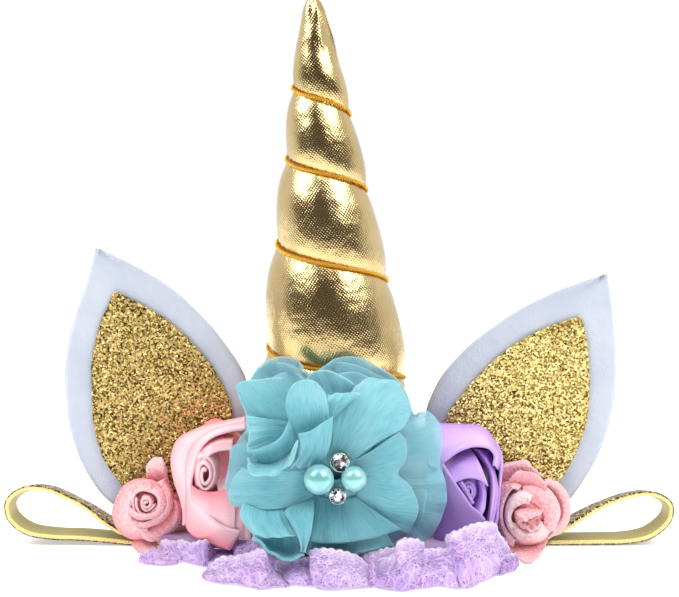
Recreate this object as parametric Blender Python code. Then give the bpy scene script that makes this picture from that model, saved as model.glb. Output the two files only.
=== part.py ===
"""Unicorn horn headband: a stuffed spiral horn, felt ears and fabric flowers on an elastic band.

The band lies flattened on a table and the horn stands up. +X is right, -Y is the front and +Z is up.
The origin is at the middle of the band's underside. Tables are in millimetres, objects in metres.
"""
import math

import bmesh
import bpy
from mathutils import Matrix, Vector

MM = 0.001
GAP = 0.3

# Elastic band
BAND_WIDTH = 10.0
BAND_THICK = 1.6
BAND_LOW_STRAIGHT = 60.0
BAND_HIGH_STRAIGHT = 64.0

# Felt patch under the flowers
BASE_HALF_LENGTH = 62.0
BASE_FRONT = 27.0
BASE_BACK = 21.0
BASE_THICK = 2.0
BASE_BOTTOM = 2 * BAND_THICK + 2 * GAP
BASE_TOP = BASE_BOTTOM + BASE_THICK
SEAT = BASE_TOP + GAP

# Horn
HORN_FOOT_X = 1.9
HORN_LEAN = -0.0585
HORN_TIP = 169.5
HORN_SHOULDER = 156.0
HORN_COLUMNS = 20
HORN_PHASES = (0.0, 0.10, 0.28, 0.5, 0.72, 0.90)
HORN_TIP_RINGS = (159.5, 162.7, 166.0, 168.4)
CORD_RADIUS = 0.75
CORD_SLACK = GAP + 0.15
CORD_START = 0.2
CORD_END = 5.15

# Ears
FELT_THICK = 2.0
GLITTER_THICK = 0.8
EAR_FRONT = 0.0
EAR_GAP = 0.5
GLITTER_FRONT = EAR_FRONT - EAR_GAP - GLITTER_THICK
EAR_CUP = 2.0
EAR_CUP_START = 22.0
EAR_CUP_RISE = 45.0

# Flowers
FABRIC = 1.0
FLOWER_X = -1.2
FLOWER_Z = 32.5
FLOWER_BACK = -24.1
FLOWER_FRONT = -38.0
PETAL_ROOT = 2.5

# Beads and stones in front of the flower: x, z, radius.
PEARL_LEFT = (-5.9, 31.0, 4.25)
PEARL_RIGHT = (4.7, 31.0, 3.55)
RHINESTONE_TOP = (0.1, 36.0, 2.8)
RHINESTONE_BOTTOM = (-0.5, 25.9, 2.5)

# Height of the horn's groove at each half turn of its helix, from the first turn down.
GROOVE_HEIGHTS = {
    -1.0: 172.0, -0.5: 161.0, 0.0: 151.5, 0.5: 142.2, 1.0: 134.3, 1.5: 120.7, 2.0: 111.2, 2.5: 94.6,
    3.0: 83.1, 3.5: 62.4, 4.0: 52.6, 4.5: 25.9, 5.0: 16.0, 5.5: -8.0, 6.0: -20.0, 6.5: -44.0}

# Height: radius of the stuffed horn over its swellings.
HORN_RADII = {
    -50.0: 24.2, 6.0: 24.2, 30.0: 24.0, 48.5: 23.3, 61.0: 22.3, 72.0: 21.2, 88.7: 18.2, 106.0: 15.4,
    118.0: 13.0, 128.5: 11.3, 140.0: 9.0, 146.0: 8.0, 153.7: 6.3, 162.7: 4.1, 166.0: 3.3, 168.2: 2.3}

# Height: how deep the cord pinches the horn.
GROOVE_DEPTHS = {-50.0: 2.2, 30.0: 2.4, 110.0: 2.4, 130.0: 2.1, 143.0: 1.6, 152.0: 0.5, 156.0: 0.0}

# Height, left edge, right edge of each ear.
EAR_FELT_LEFT = (
    (SEAT, -61.0, -40.5), (11.5, -71.6, -36.0), (18.0, -77.6, -32.0), (28.5, -82.8, -28.2),
    (40.0, -85.5, -26.8), (52.0, -86.0, -29.2), (66.0, -84.2, -37.6), (74.5, -81.4, -45.2),
    (82.0, -78.6, -54.0), (88.5, -76.6, -65.0), (92.8, -75.4, -74.4))
EAR_FELT_RIGHT = (
    (SEAT, 38.5, 62.0), (12.0, 34.0, 71.8), (19.0, 30.6, 77.0), (28.0, 28.3, 81.8), (40.0, 27.0, 85.4),
    (50.0, 30.2, 86.6), (62.0, 39.6, 86.3), (70.0, 49.6, 85.4), (76.0, 59.5, 84.6), (81.0, 70.6, 83.7),
    (84.8, 82.2, 83.0))
EAR_GLITTER_LEFT = (
    (SEAT + 1.5, -59.5, -43.5), (12.0, -63.8, -40.5), (19.0, -69.2, -36.4), (28.9, -75.1, -33.3),
    (41.5, -77.4, -33.6), (55.0, -77.5, -39.0), (63.0, -76.2, -45.2), (70.0, -74.3, -52.6),
    (75.6, -71.8, -61.5), (79.6, -70.0, -69.2))
EAR_GLITTER_RIGHT = (
    (SEAT + 1.5, 42.0, 58.5), (12.0, 37.6, 63.0), (19.5, 33.8, 69.4), (29.0, 31.7, 74.4), (39.5, 33.3, 77.6),
    (49.1, 39.7, 78.2), (58.0, 48.0, 77.8), (64.5, 56.6, 77.0), (69.0, 66.0, 76.0), (71.8, 74.4, 75.0))

# Points round the outside of each flattened bend of the band, from its lower to its upper run.
BAND_BEND_LEFT = (
    (-66.0, 0.0), (-74.0, 0.9), (-82.0, 1.5), (-90.0, 1.8), (-98.0, 3.2), (-103.4, 7.2), (-104.8, 12.0),
    (-102.4, 16.0), (-97.0, 18.3), (-90.6, 17.6), (-84.7, 15.0), (-78.9, 11.8), (-73.0, 7.6), (-68.5, 5.1))
BAND_BEND_RIGHT = (
    (66.0, 0.0), (74.0, 0.1), (82.0, 0.2), (90.0, 0.4), (97.5, 2.0), (103.0, 6.2), (104.6, 10.5),
    (103.0, 14.0), (98.0, 16.3), (91.0, 15.7), (82.0, 12.4), (74.6, 8.3), (68.5, 5.0))

# Chiffon flower: one row per petal. turn: direction from the centre in degrees. reach, half_width: mm.
# depth: how far the root lies behind the flower's front. rise: how far the rim comes forward.
# scoop: how far the two sides come forward of the middle. tilt: how far one side lies over its neighbour.
PETAL_COLUMNS = ("turn", "reach", "half_width", "depth", "rise", "scoop", "tilt", "waves")
FLOWER_PETALS = (
    (115, 36.5, 12.0, 9.0, 2.0, -1.0, 0.0, 1.0),
    (84, 33.5, 13.0, 8.0, 1.0, -1.0, 0.5, 1.0),
    (48, 34.5, 12.5, 8.5, 3.0, -1.0, 0.5, 1.0),
    (10, 30.5, 12.5, 8.0, 4.0, -1.0, 0.5, 1.0),
    (-24, 31.5, 12.0, 8.5, 5.0, -1.0, 0.5, 1.0),
    (-68, 24.5, 11.0, 8.0, 5.0, -1.0, 0.5, 1.0),
    (236, 25.5, 11.0, 8.0, 5.0, -1.0, 0.5, 1.0),
    (192, 30.0, 12.5, 8.0, 4.0, -1.0, 0.5, 1.0),
    (152, 31.0, 11.0, 8.5, 4.0, -1.0, 0.5, 1.0),
    (62, 27.5, 14.0, 4.0, 3.0, -1.5, 1.5, 1.5),
    (14, 24.0, 14.0, 3.0, 5.0, -1.5, 1.5, 1.5),
    (-34, 24.5, 13.0, 3.0, 5.0, -1.5, 1.5, 1.5),
    (-72, 19.5, 9.0, 3.0, 7.0, -1.5, 1.5, 0.5),
    (232, 24.0, 9.0, 3.5, 9.0, 3.5, 0.5, 0.0),
    (196, 25.0, 11.0, 4.0, 8.0, -2.0, 1.0, 0.5),
    (160, 25.0, 7.5, 3.0, 12.0, 5.0, 0.5, 0.0),
    (128, 29.0, 9.0, 4.0, 8.0, 3.0, 0.5, 0.0),
    (106, 23.0, 7.5, 3.0, 10.0, -2.0, 1.0, 0.0))

# Roses: one row per wrapped fold. start, end: degrees round the eye. x, z: shift of the fold's centre.
# root, rim: radii in mm. height: how far the rim stands forward of the rose's back.
FOLD_COLUMNS = ("start", "end", "x", "z", "root", "rim", "height")
ROSE_PINK = {
    "place": (-35.5, -3.0, 27.0), "aim": (-0.16, -1.0, 0.0), "stretch": 1.18, "seat_radius": 7.0,
    "folds": (
        (0, 400, -1.0, 1.6, 1.6, 1.8, 25.0),
        (40, 330, -0.8, 1.5, 3.0, 4.4, 24.6),
        (10, 250, -0.4, 1.0, 4.2, 7.2, 23.6),
        (180, 372, 0.2, -0.6, 5.0, 9.0, 22.2),
        (60, 250, 0.8, 0.3, 6.0, 12.2, 20.6),
        (195, 322, 1.2, -1.6, 6.4, 14.6, 19.0),
        (70, 205, 1.8, 0.8, 6.6, 15.2, 17.2))}
ROSE_PURPLE = {
    "place": (32.5, -3.0, 26.5), "aim": (0.14, -1.0, -0.03), "stretch": 1.28, "seat_radius": 7.0,
    "folds": (
        (0, 400, 1.8, -1.8, 1.6, 1.8, 24.6),
        (150, 440, 1.6, -1.5, 2.8, 4.2, 24.2),
        (-30, 165, 0.8, -0.4, 4.2, 7.6, 23.2),
        (175, 330, 0.6, -0.4, 4.8, 8.8, 22.2),
        (-75, 60, 0.2, -0.4, 5.6, 11.2, 21.0),
        (35, 150, -0.6, 0.8, 6.2, 12.8, 19.6),
        (212, 325, -0.4, -0.8, 6.4, 13.0, 18.4))}
ROSE_SMALL_LEFT = {
    "place": (-56.6, -3.0, 17.0), "aim": (-0.05, -1.0, 0.05), "stretch": 1.0, "seat_radius": 5.0,
    "folds": (
        (0, 420, 0.2, 0.2, 1.6, 1.8, 18.0),
        (-60, 250, 0.1, 0.1, 2.8, 4.3, 17.4),
        (170, 420, 0.1, -0.1, 3.8, 6.8, 16.2),
        (-10, 240, 0.2, 0.2, 4.6, 9.4, 14.6),
        (150, 330, 0.3, -0.2, 4.8, 11.2, 12.2))}
ROSE_SMALL_RIGHT = {
    "place": (56.8, -3.0, 18.0), "aim": (-0.05, -1.0, -0.06), "stretch": 1.10, "seat_radius": 5.0,
    "folds": (
        (0, 420, -0.3, -1.0, 1.6, 1.8, 19.0),
        (60, 370, -0.3, -0.8, 2.8, 4.3, 18.4),
        (-70, 170, -0.2, -0.4, 3.8, 6.8, 17.2),
        (120, 340, 0.0, -0.2, 4.6, 9.4, 15.6),
        (-40, 160, 0.3, 0.2, 4.8, 11.2, 13.2))}

# Lace: its outer edge over the table, and how high its gathers rise along that edge.
LACE_INNER_ENDS = -6.5
LACE_INNER_SWELL = 14.0
LACE_SEWN_HEIGHT = 2.75
LACE_EDGE = ((-58.0, -18.0), (-46.0, -28.5), (-35.0, -35.0), (-18.0, -42.0), (0.0, -45.5), (16.0, -45.0),
             (31.0, -40.0), (46.0, -32.0), (59.0, -21.0))
LACE_CRESTS = {0.0: 6.0, 0.2: 8.0, 0.32: 8.0, 0.5: 6.5, 0.68: 7.5, 0.82: 12.5, 1.0: 5.0}
LACE_GATHERS = 8
LACE_THICK = 1.0


def clear_scene():
    for obj in list(bpy.data.objects):
        bpy.data.objects.remove(obj)


def principled(name, color, roughness, metallic=0.0):
    material = bpy.data.materials.new(name)
    material.use_nodes = True
    shader = material.node_tree.nodes["Principled BSDF"]
    shader.inputs["Base Color"].default_value = (*color, 1.0)
    shader.inputs["Roughness"].default_value = roughness
    shader.inputs["Metallic"].default_value = metallic
    material.diffuse_color = (*color, 1.0)
    return material


def mesh_from(name, points, faces):
    """A mesh from points in millimetres."""
    mesh = bpy.data.meshes.new(name)
    mesh.from_pydata([Vector(point) * MM for point in points], [], faces)
    mesh.validate()
    return mesh


def face_outward(mesh):
    """Triangles with their normals out, so that a bent quad has one meaning for every tool."""
    shape = bmesh.new()
    shape.from_mesh(mesh)
    bmesh.ops.recalc_face_normals(shape, faces=shape.faces)
    bmesh.ops.triangulate(shape, faces=shape.faces)
    shape.to_mesh(mesh)
    shape.free()


def place(name, mesh, material, sharp_degrees=None):
    face_outward(mesh)
    obj = bpy.data.objects.new(name, mesh)
    bpy.context.scene.collection.objects.link(obj)
    mesh.materials.append(material)
    if sharp_degrees is not None:
        mesh.shade_smooth()
        mesh.set_sharp_from_angle(angle=math.radians(sharp_degrees))
    return obj


def read_curve(table, position):
    """Smooth value between the rows of a {position: value} table."""
    keys = sorted(table)
    position = min(max(position, keys[0]), keys[-1])
    slopes = [(table[b] - table[a]) / (b - a) for a, b in zip(keys, keys[1:])]
    index = 0
    while index < len(slopes) - 1 and position > keys[index + 1]:
        index += 1
    low, high = keys[index], keys[index + 1]

    def tangent(i):
        if i == 0 or i == len(slopes):
            return slopes[min(i, len(slopes) - 1)]
        before, after = slopes[i - 1], slopes[i]
        return 0.0 if before * after <= 0 else 2 * before * after / (before + after)

    width = high - low
    t = (position - low) / width
    bend_low = tangent(index) * width
    bend_high = tangent(index + 1) * width
    return ((2 * t**3 - 3 * t**2 + 1) * table[low] + (t**3 - 2 * t**2 + t) * bend_low
            + (3 * t**2 - 2 * t**3) * table[high] + (t**3 - t**2) * bend_high)


def smooth_through(points, per_span):
    """Catmull-Rom points through an open row of points."""
    points = [Vector(point) for point in points]
    result = []
    for i in range(len(points) - 1):
        p0 = points[i - 1] if i else 2 * points[0] - points[1]
        p1, p2 = points[i], points[i + 1]
        p3 = points[i + 2] if i + 2 < len(points) else 2 * points[-1] - points[-2]
        for step in range(per_span):
            t = step / per_span
            result.append(0.5 * (2 * p1 + (p2 - p0) * t + (2 * p0 - 5 * p1 + 4 * p2 - p3) * t**2
                                 + (3 * p1 - p0 - 3 * p2 + p3) * t**3))
    result.append(points[-1])
    return result


def sheet_solid(name, grid, thickness):
    """Closed solid round a grid of middle points, given in rows of equal length."""
    rows, columns = len(grid), len(grid[0])

    def normal(i, j):
        along = grid[min(i + 1, rows - 1)][j] - grid[max(i - 1, 0)][j]
        across = grid[i][min(j + 1, columns - 1)] - grid[i][max(j - 1, 0)]
        return across.cross(along).normalized()

    points = []
    for side in (0.5, -0.5):
        for i in range(rows):
            for j in range(columns):
                points.append(grid[i][j] + normal(i, j) * side * thickness)
    back = rows * columns
    faces = []
    for i in range(rows - 1):
        for j in range(columns - 1):
            a = i * columns + j
            quad = (a, a + 1, a + columns + 1, a + columns)
            faces.append(quad)
            faces.append(tuple(back + corner for corner in reversed(quad)))
    rim = [(0, j) for j in range(columns)] + [(i, columns - 1) for i in range(1, rows)]
    rim += [(rows - 1, j) for j in range(columns - 2, -1, -1)] + [(i, 0) for i in range(rows - 2, 0, -1)]
    rim = [i * columns + j for i, j in rim]
    for a, b in zip(rim, rim[1:] + rim[:1]):
        faces.append((b, a, back + a, back + b))
    mesh = mesh_from(name, points, faces)
    face_outward(mesh)
    return mesh


def turned_solid(name, profile, sides, origin, axis):
    """Closed solid turned about an axis from (radius, distance) rows, flat at both ends."""
    turn = Vector((0, 0, 1)).rotation_difference(Vector(axis).normalized()).to_matrix()
    points = []
    for radius, distance in profile:
        for k in range(sides):
            angle = math.tau * k / sides
            spoke = Vector((radius * math.cos(angle), radius * math.sin(angle), distance))
            points.append(Vector(origin) + turn @ spoke)
    faces = [tuple(range(sides)), tuple(range(len(points) - sides, len(points)))]
    for ring in range(len(profile) - 1):
        for k in range(sides):
            a, b = ring * sides + k, ring * sides + (k + 1) % sides
            faces.append((a, b, b + sides, a + sides))
    mesh = mesh_from(name, points, faces)
    face_outward(mesh)
    return mesh


def fuse(name, meshes, material, sharp_degrees):
    """Union of closed meshes as one body, without the pockets that overlapping folds seal off."""
    fused = meshes[0]
    for mesh in meshes[1:]:
        base = bpy.data.objects.new(name, fused)
        piece = bpy.data.objects.new(mesh.name, mesh)
        for obj in (base, piece):
            bpy.context.scene.collection.objects.link(obj)
        union = base.modifiers.new("Union", "BOOLEAN")
        union.operation = "UNION"
        union.solver = "EXACT"
        union.object = piece
        depsgraph = bpy.context.evaluated_depsgraph_get()
        fused = bpy.data.meshes.new_from_object(base.evaluated_get(depsgraph))
        for obj in (base, piece):
            bpy.data.objects.remove(obj)
    keep_outer_shell(fused)
    fused.name = name
    fused.materials.clear()
    return place(name, fused, material, sharp_degrees)


def keep_outer_shell(mesh):
    shape = bmesh.new()
    shape.from_mesh(mesh)
    bmesh.ops.triangulate(shape, faces=shape.faces)
    shells = []
    unseen = set(shape.faces)
    while unseen:
        shell = {unseen.pop()}
        frontier = list(shell)
        while frontier:
            for edge in frontier.pop().edges:
                for face in edge.link_faces:
                    if face in unseen:
                        unseen.remove(face)
                        shell.add(face)
                        frontier.append(face)
        shells.append(shell)
    shells.sort(key=lambda shell: sum(face.calc_area() for face in shell))
    inner = [face for shell in shells[:-1] for face in shell]
    bmesh.ops.delete(shape, geom=inner, context="FACES")
    shape.to_mesh(mesh)
    shape.free()


# Elastic band

def band_path():
    """Middle line of the band's thickness, once round the flattened loop."""
    low = BAND_THICK / 2
    high = low + BAND_THICK + GAP
    right = smooth_through(BAND_BEND_RIGHT, 2)
    left = smooth_through(BAND_BEND_LEFT, 2)
    path = inset_line(right, 1.0)
    path += [Vector((x, high)) for x in (BAND_HIGH_STRAIGHT, 0.0, -BAND_HIGH_STRAIGHT)]
    path += list(reversed(inset_line(left, -1.0)))
    path += [Vector((x, low)) for x in (-BAND_LOW_STRAIGHT, 0.0, BAND_LOW_STRAIGHT)]
    return path


def inset_line(points, side):
    """The line moved in by half the band's thickness."""
    moved = []
    for i, point in enumerate(points):
        along = points[min(i + 1, len(points) - 1)] - points[max(i - 1, 0)]
        moved.append(point + Vector((-along.y, along.x)).normalized() * side * BAND_THICK / 2)
    return moved


def make_band(material):
    path = band_path()
    count = len(path)
    points = []
    for i, point in enumerate(path):
        along = path[(i + 1) % count] - path[i - 1]
        across = Vector((-along.y, along.x)).normalized() * BAND_THICK / 2
        for side, y in ((-1, -1), (-1, 1), (1, 1), (1, -1)):
            edge = point + side * across
            points.append((edge.x, y * BAND_WIDTH / 2, edge.y))
    faces = []
    for i in range(count):
        for k in range(4):
            a, b = i * 4 + k, i * 4 + (k + 1) % 4
            c, d = (i + 1) % count * 4 + (k + 1) % 4, (i + 1) % count * 4 + k
            faces.append((a, b, c, d))
    return place("elastic_band", mesh_from("elastic_band", points, faces), material, 40)


def make_base(material):
    sides = 36
    points = []
    for z in (BASE_BOTTOM, BASE_TOP):
        for k in range(sides):
            angle = math.tau * k / sides
            depth = BASE_BACK if math.sin(angle) > 0 else BASE_FRONT
            points.append((BASE_HALF_LENGTH * math.cos(angle), depth * math.sin(angle), z))
    faces = [tuple(range(sides)), tuple(range(sides, 2 * sides))]
    faces += [(k, (k + 1) % sides, sides + (k + 1) % sides, sides + k) for k in range(sides)]
    return place("felt_base", mesh_from("felt_base", points, faces), material, 40)


# Horn and its cord

def horn_axis(z):
    return Vector((HORN_FOOT_X + HORN_LEAN * z, 0.0, z))


def horn_point(turns, phase):
    """Point of the horn's skin: turns round the helix, and phase from one groove to the next below."""
    z = read_curve(GROOVE_HEIGHTS, turns + phase)
    swell = math.sin(math.pi * phase) ** 0.7 if 0.0 < phase < 1.0 else 0.0
    radius = read_curve(HORN_RADII, z) - read_curve(GROOVE_DEPTHS, z) * (1.0 - swell)
    angle = math.tau * turns
    return horn_axis(z) + Vector((radius * math.cos(angle), radius * math.sin(angle), 0.0))


def make_horn(material):
    """Skin in strips that follow the helix: a strip's last column meets the next turn's first."""
    first_turn, turn_count = -1, 7
    columns, per_turn = HORN_COLUMNS, len(HORN_PHASES)
    rows = turn_count * per_turn
    points = []
    for row in range(rows):
        for k in range(columns):
            turns = first_turn + row // per_turn + k / columns
            points.append(horn_point(turns, HORN_PHASES[row % per_turn]))
    faces = []
    for row in range(rows - 1):
        for k in range(columns):
            next_row, next_k = (row, k + 1) if k + 1 < columns else (row + per_turn, 0)
            if next_row < rows - 1:
                a, b = row * columns + k, next_row * columns + next_k
                faces.append((a, b, b + columns, a + columns))
    shape = bmesh.new()
    shape.from_mesh(mesh_from("horn", points, faces))
    for height, upward in ((SEAT, -1), (HORN_SHOULDER, 1)):
        everything = shape.verts[:] + shape.edges[:] + shape.faces[:]
        bmesh.ops.bisect_plane(shape, geom=everything, dist=0.0001, plane_co=(0, 0, height * MM),
                               plane_no=(0, 0, upward), clear_outer=True)
    close_horn_tip(shape)
    bottom = [edge for edge in shape.edges if edge.is_boundary]
    bmesh.ops.contextual_create(shape, geom=bottom)
    mesh = bpy.data.meshes.new("horn")
    shape.to_mesh(mesh)
    shape.free()
    return place("horn", mesh, material, 55)


def close_horn_tip(shape):
    """Rings up from the shoulder to the rounded tip."""
    ring = [edge for edge in shape.edges
            if edge.is_boundary and min(v.co.z for v in edge.verts) > (HORN_SHOULDER - 1) * MM]
    for height in HORN_TIP_RINGS:
        grown = bmesh.ops.extrude_edge_only(shape, edges=ring)["geom"]
        ring = [part for part in grown if isinstance(part, bmesh.types.BMEdge)]
        centre = horn_axis(height)
        for vert in {vert for edge in ring for vert in edge.verts}:
            below = horn_axis(vert.co.z / MM) * MM
            angle = math.atan2(vert.co.y - below.y, vert.co.x - below.x)
            radius = read_curve(HORN_RADII, height)
            vert.co = (centre + Vector((radius * math.cos(angle), radius * math.sin(angle), 0))) * MM
    grown = bmesh.ops.extrude_edge_only(shape, edges=ring)["geom"]
    tip = [part for part in grown if isinstance(part, bmesh.types.BMVert)]
    bmesh.ops.pointmerge(shape, verts=tip, merge_co=horn_axis(HORN_TIP) * MM)


def make_cord(material):
    """Five-sided tube in the groove, on the horn's own columns."""
    steps = round((CORD_END - CORD_START) * HORN_COLUMNS)
    centres = [groove_point(CORD_START + i / HORN_COLUMNS) for i in range(steps + 1)]
    return tube("horn_cord", centres, CORD_RADIUS, 5, material)


def groove_point(turns):
    z = read_curve(GROOVE_HEIGHTS, turns)
    radius = read_curve(HORN_RADII, z) - read_curve(GROOVE_DEPTHS, z) + CORD_RADIUS + CORD_SLACK
    angle = math.tau * turns
    return horn_axis(z) + Vector((radius * math.cos(angle), radius * math.sin(angle), 0.0))


def tube(name, centres, radius, sides, material):
    points = []
    for i, centre in enumerate(centres):
        along = (centres[min(i + 1, len(centres) - 1)] - centres[max(i - 1, 0)]).normalized()
        out = (centre - horn_axis(centre.z)).normalized()
        up = along.cross(out).normalized()
        out = up.cross(along)
        for k in range(sides):
            angle = math.tau * (k + 0.5) / sides
            points.append(centre + (out * math.cos(angle) + up * math.sin(angle)) * radius)
    faces = [tuple(range(sides)), tuple(range(len(points) - sides, len(points)))]
    for ring in range(len(centres) - 1):
        for k in range(sides):
            a, b = ring * sides + k, ring * sides + (k + 1) % sides
            faces.append((a, b, b + sides, a + sides))
    return place(name, mesh_from(name, points, faces), material, 70)


# Ears

def make_ear(name, table, felt, front, thickness, material):
    """Leaf-shaped sheet standing on the base, its sides curling forward towards the top."""
    left_edge = {z: left for z, left, right in felt}
    right_edge = {z: right for z, left, right in felt}
    columns = 3
    grid = []
    for z, left, right in table:
        lift = EAR_CUP * min(max((z - EAR_CUP_START) / EAR_CUP_RISE, 0.0), 1.0)
        felt_left, felt_right = read_curve(left_edge, z), read_curve(right_edge, z)
        row = []
        for j in range(columns + 1):
            x = left + (right - left) * j / columns
            across = (2.0 * x - felt_left - felt_right) / (felt_right - felt_left)
            row.append(Vector((x, front + thickness / 2 - lift * across**2, z)))
        grid.append(row)
    return place(name, sheet_solid(name, grid, thickness), material, 40)


# Flowers

def petal_mesh(row, index, centre):
    """Rounded chiffon petal from the flower's core out to its rim."""
    petal = dict(zip(PETAL_COLUMNS, row))
    direction = math.radians(petal["turn"])
    outward = Vector((math.cos(direction), 0.0, math.sin(direction)))
    sideways = Vector((-math.sin(direction), 0.0, math.cos(direction)))
    forward = Vector((0.0, -1.0, 0.0))
    grid = []
    for v in (0.0, 0.5, 1.0):
        row_points = []
        for j in range(5):
            u = 2.0 * j / 4 - 1.0
            width = petal["half_width"] * (0.30 + 0.78 * math.sin(0.5 * math.pi * min(1.0, 1.25 * v)))
            out = PETAL_ROOT + (petal["reach"] - PETAL_ROOT) * v * (1.0 - 0.30 * v * u**2)
            lift = -petal["depth"] + petal["rise"] * v**1.8 + petal["scoop"] * u**2 * v
            lift += petal["tilt"] * u * v + 0.9 * petal["waves"] * v**2 * math.sin(5.0 * u + 1.7 * index)
            spread = width * u * (1.0 - 0.22 * v**3)
            row_points.append(centre + outward * out + sideways * spread + forward * lift)
        grid.append(row_points)
    return sheet_solid(f"petal_{index}", grid, FABRIC)


def make_flower(material):
    centre = Vector((FLOWER_X, FLOWER_FRONT, FLOWER_Z))
    length = FLOWER_BACK - FLOWER_FRONT
    core = turned_solid("flower_core", ((8.0, 0.0), (6.6, length)), 12,
                        (FLOWER_X, FLOWER_BACK, FLOWER_Z), (0, -1, 0))
    petals = [petal_mesh(row, index, centre) for index, row in enumerate(FLOWER_PETALS)]
    return fuse("chiffon_flower", [core] + petals, material, 50)


def fold_mesh(rose, row, index, turn):
    """Wall of ribbon wrapped part of the way round the rose, flaring to its rim."""
    fold = dict(zip(FOLD_COLUMNS, row))
    sweep = fold["end"] - fold["start"]
    steps = max(4, round(sweep / (42.0 if index else 34.0)))
    grid = []
    for v in (0.0, 0.55, 1.0):
        row_points = []
        for j in range(steps + 1):
            t = j / steps
            angle = math.radians(fold["start"] + sweep * t)
            drawn_in = 1.0 - 0.10 * abs(2 * t - 1)**3 if index else 0.6 + 1.1 * t
            radius = (fold["root"] + (fold["rim"] - fold["root"]) * v**1.6) * drawn_in
            height = 2.0 + (fold["height"] - 2.0) * math.sin(0.5 * math.pi * v)**0.9
            height -= 1.6 * abs(2 * t - 1)**2 * v if index else 0.0
            local = Vector((radius * math.cos(angle) + fold["x"] * v,
                            (radius * math.sin(angle) + fold["z"] * v) * rose["stretch"], height))
            row_points.append(Vector(rose["place"]) + turn @ local)
        grid.append(row_points)
    return sheet_solid(f"fold_{index}", grid, FABRIC)


def make_rose(name, rose, seat_y, material):
    forward = Vector(rose["aim"]).normalized()
    right = Vector((0, 0, 1)).cross(forward).normalized()
    up = forward.cross(right)
    turn = Matrix((right, up, forward)).transposed()
    place_x, place_y, place_z = rose["place"]
    seat = rose["seat_radius"]
    core = turned_solid(name + "_core", ((seat * 0.8, 0.0), (seat, seat_y - place_y + 3.0)), 8,
                        (place_x, seat_y, place_z), (0, -1, 0))
    folds = [fold_mesh(rose, row, index, turn) for index, row in enumerate(rose["folds"])]
    return fuse(name, [core] + folds, material, 50)


# Beads and cut stones

def make_pearl(name, bead, material):
    x, z, radius = bead
    mesh = bpy.data.meshes.new(name)
    shape = bmesh.new()
    bmesh.ops.create_uvsphere(shape, u_segments=12, v_segments=8, radius=radius * MM)
    bmesh.ops.rotate(shape, verts=shape.verts, cent=(0, 0, 0), matrix=Matrix.Rotation(math.pi / 2, 3, "X"))
    shape.to_mesh(mesh)
    shape.free()
    pearl = place(name, mesh, material, 80)
    pearl.location = Vector((x, FLOWER_FRONT - GAP - radius, z)) * MM
    return pearl


def make_rhinestone(name, setting, material):
    """Claw cup with a cut stone fused into it: eight crown facets round a flat table."""
    x, z, radius = setting
    cup = turned_solid("cup", ((radius * 0.75, 0.0), (radius, 2.6)), 12, (0, 0, 0), (0, 0, 1))
    stone = turned_solid("stone", ((radius * 0.60, 1.8), (radius * 0.94, 2.9), (radius * 0.52, 4.1)), 8,
                         (0, 0, 0), (0, 0, 1))
    claws = []
    for k in range(4):
        angle = math.tau * (k + 0.5) / 4
        side = Vector((-math.sin(angle), math.cos(angle), 0)) * 0.35
        grid = []
        for share, height in ((1.0, 1.0), (0.90, 3.7)):
            middle = Vector((radius * share * math.cos(angle), radius * share * math.sin(angle), height))
            grid.append([middle - side, middle + side])
        claws.append(sheet_solid(f"claw_{k}", grid, 0.6))
    obj = fuse(name, [cup, stone] + claws, material, 20)
    obj.location = Vector((x, FLOWER_FRONT - GAP, z)) * MM
    obj.rotation_mode = "QUATERNION"
    obj.rotation_quaternion = Vector((0, 0, 1)).rotation_difference(Vector((0, -1, 0)))
    return obj


# Lace

def make_lace(material):
    """Gathered strip: sewn under the base's front, rising and dipping in ruffles to its outer edge."""
    edge = smooth_through(LACE_EDGE, 4)
    count = len(edge) - 1
    grid = []
    for v in (0.0, 0.28, 0.62, 1.0):
        row = []
        for i, point in enumerate(edge):
            t = i / count
            inner_y = LACE_INNER_ENDS - LACE_INNER_SWELL * math.sqrt(1.0 - (point.x / BASE_HALF_LENGTH)**2)
            inner = Vector((point.x * 0.86, inner_y))
            wave = 0.5 - 0.5 * math.cos(math.tau * LACE_GATHERS * t)
            height = LACE_SEWN_HEIGHT + (read_curve(LACE_CRESTS, t) * wave - 2.0) * v**2.6
            flat = inner.lerp(point, v)
            sway = 1.5 * math.sin(math.tau * LACE_GATHERS * t) * v
            row.append(Vector((flat.x + sway, flat.y, height)))
        grid.append(row)
    return place("lace_ruffle", sheet_solid("lace_ruffle", grid, LACE_THICK), material, 50)


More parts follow.
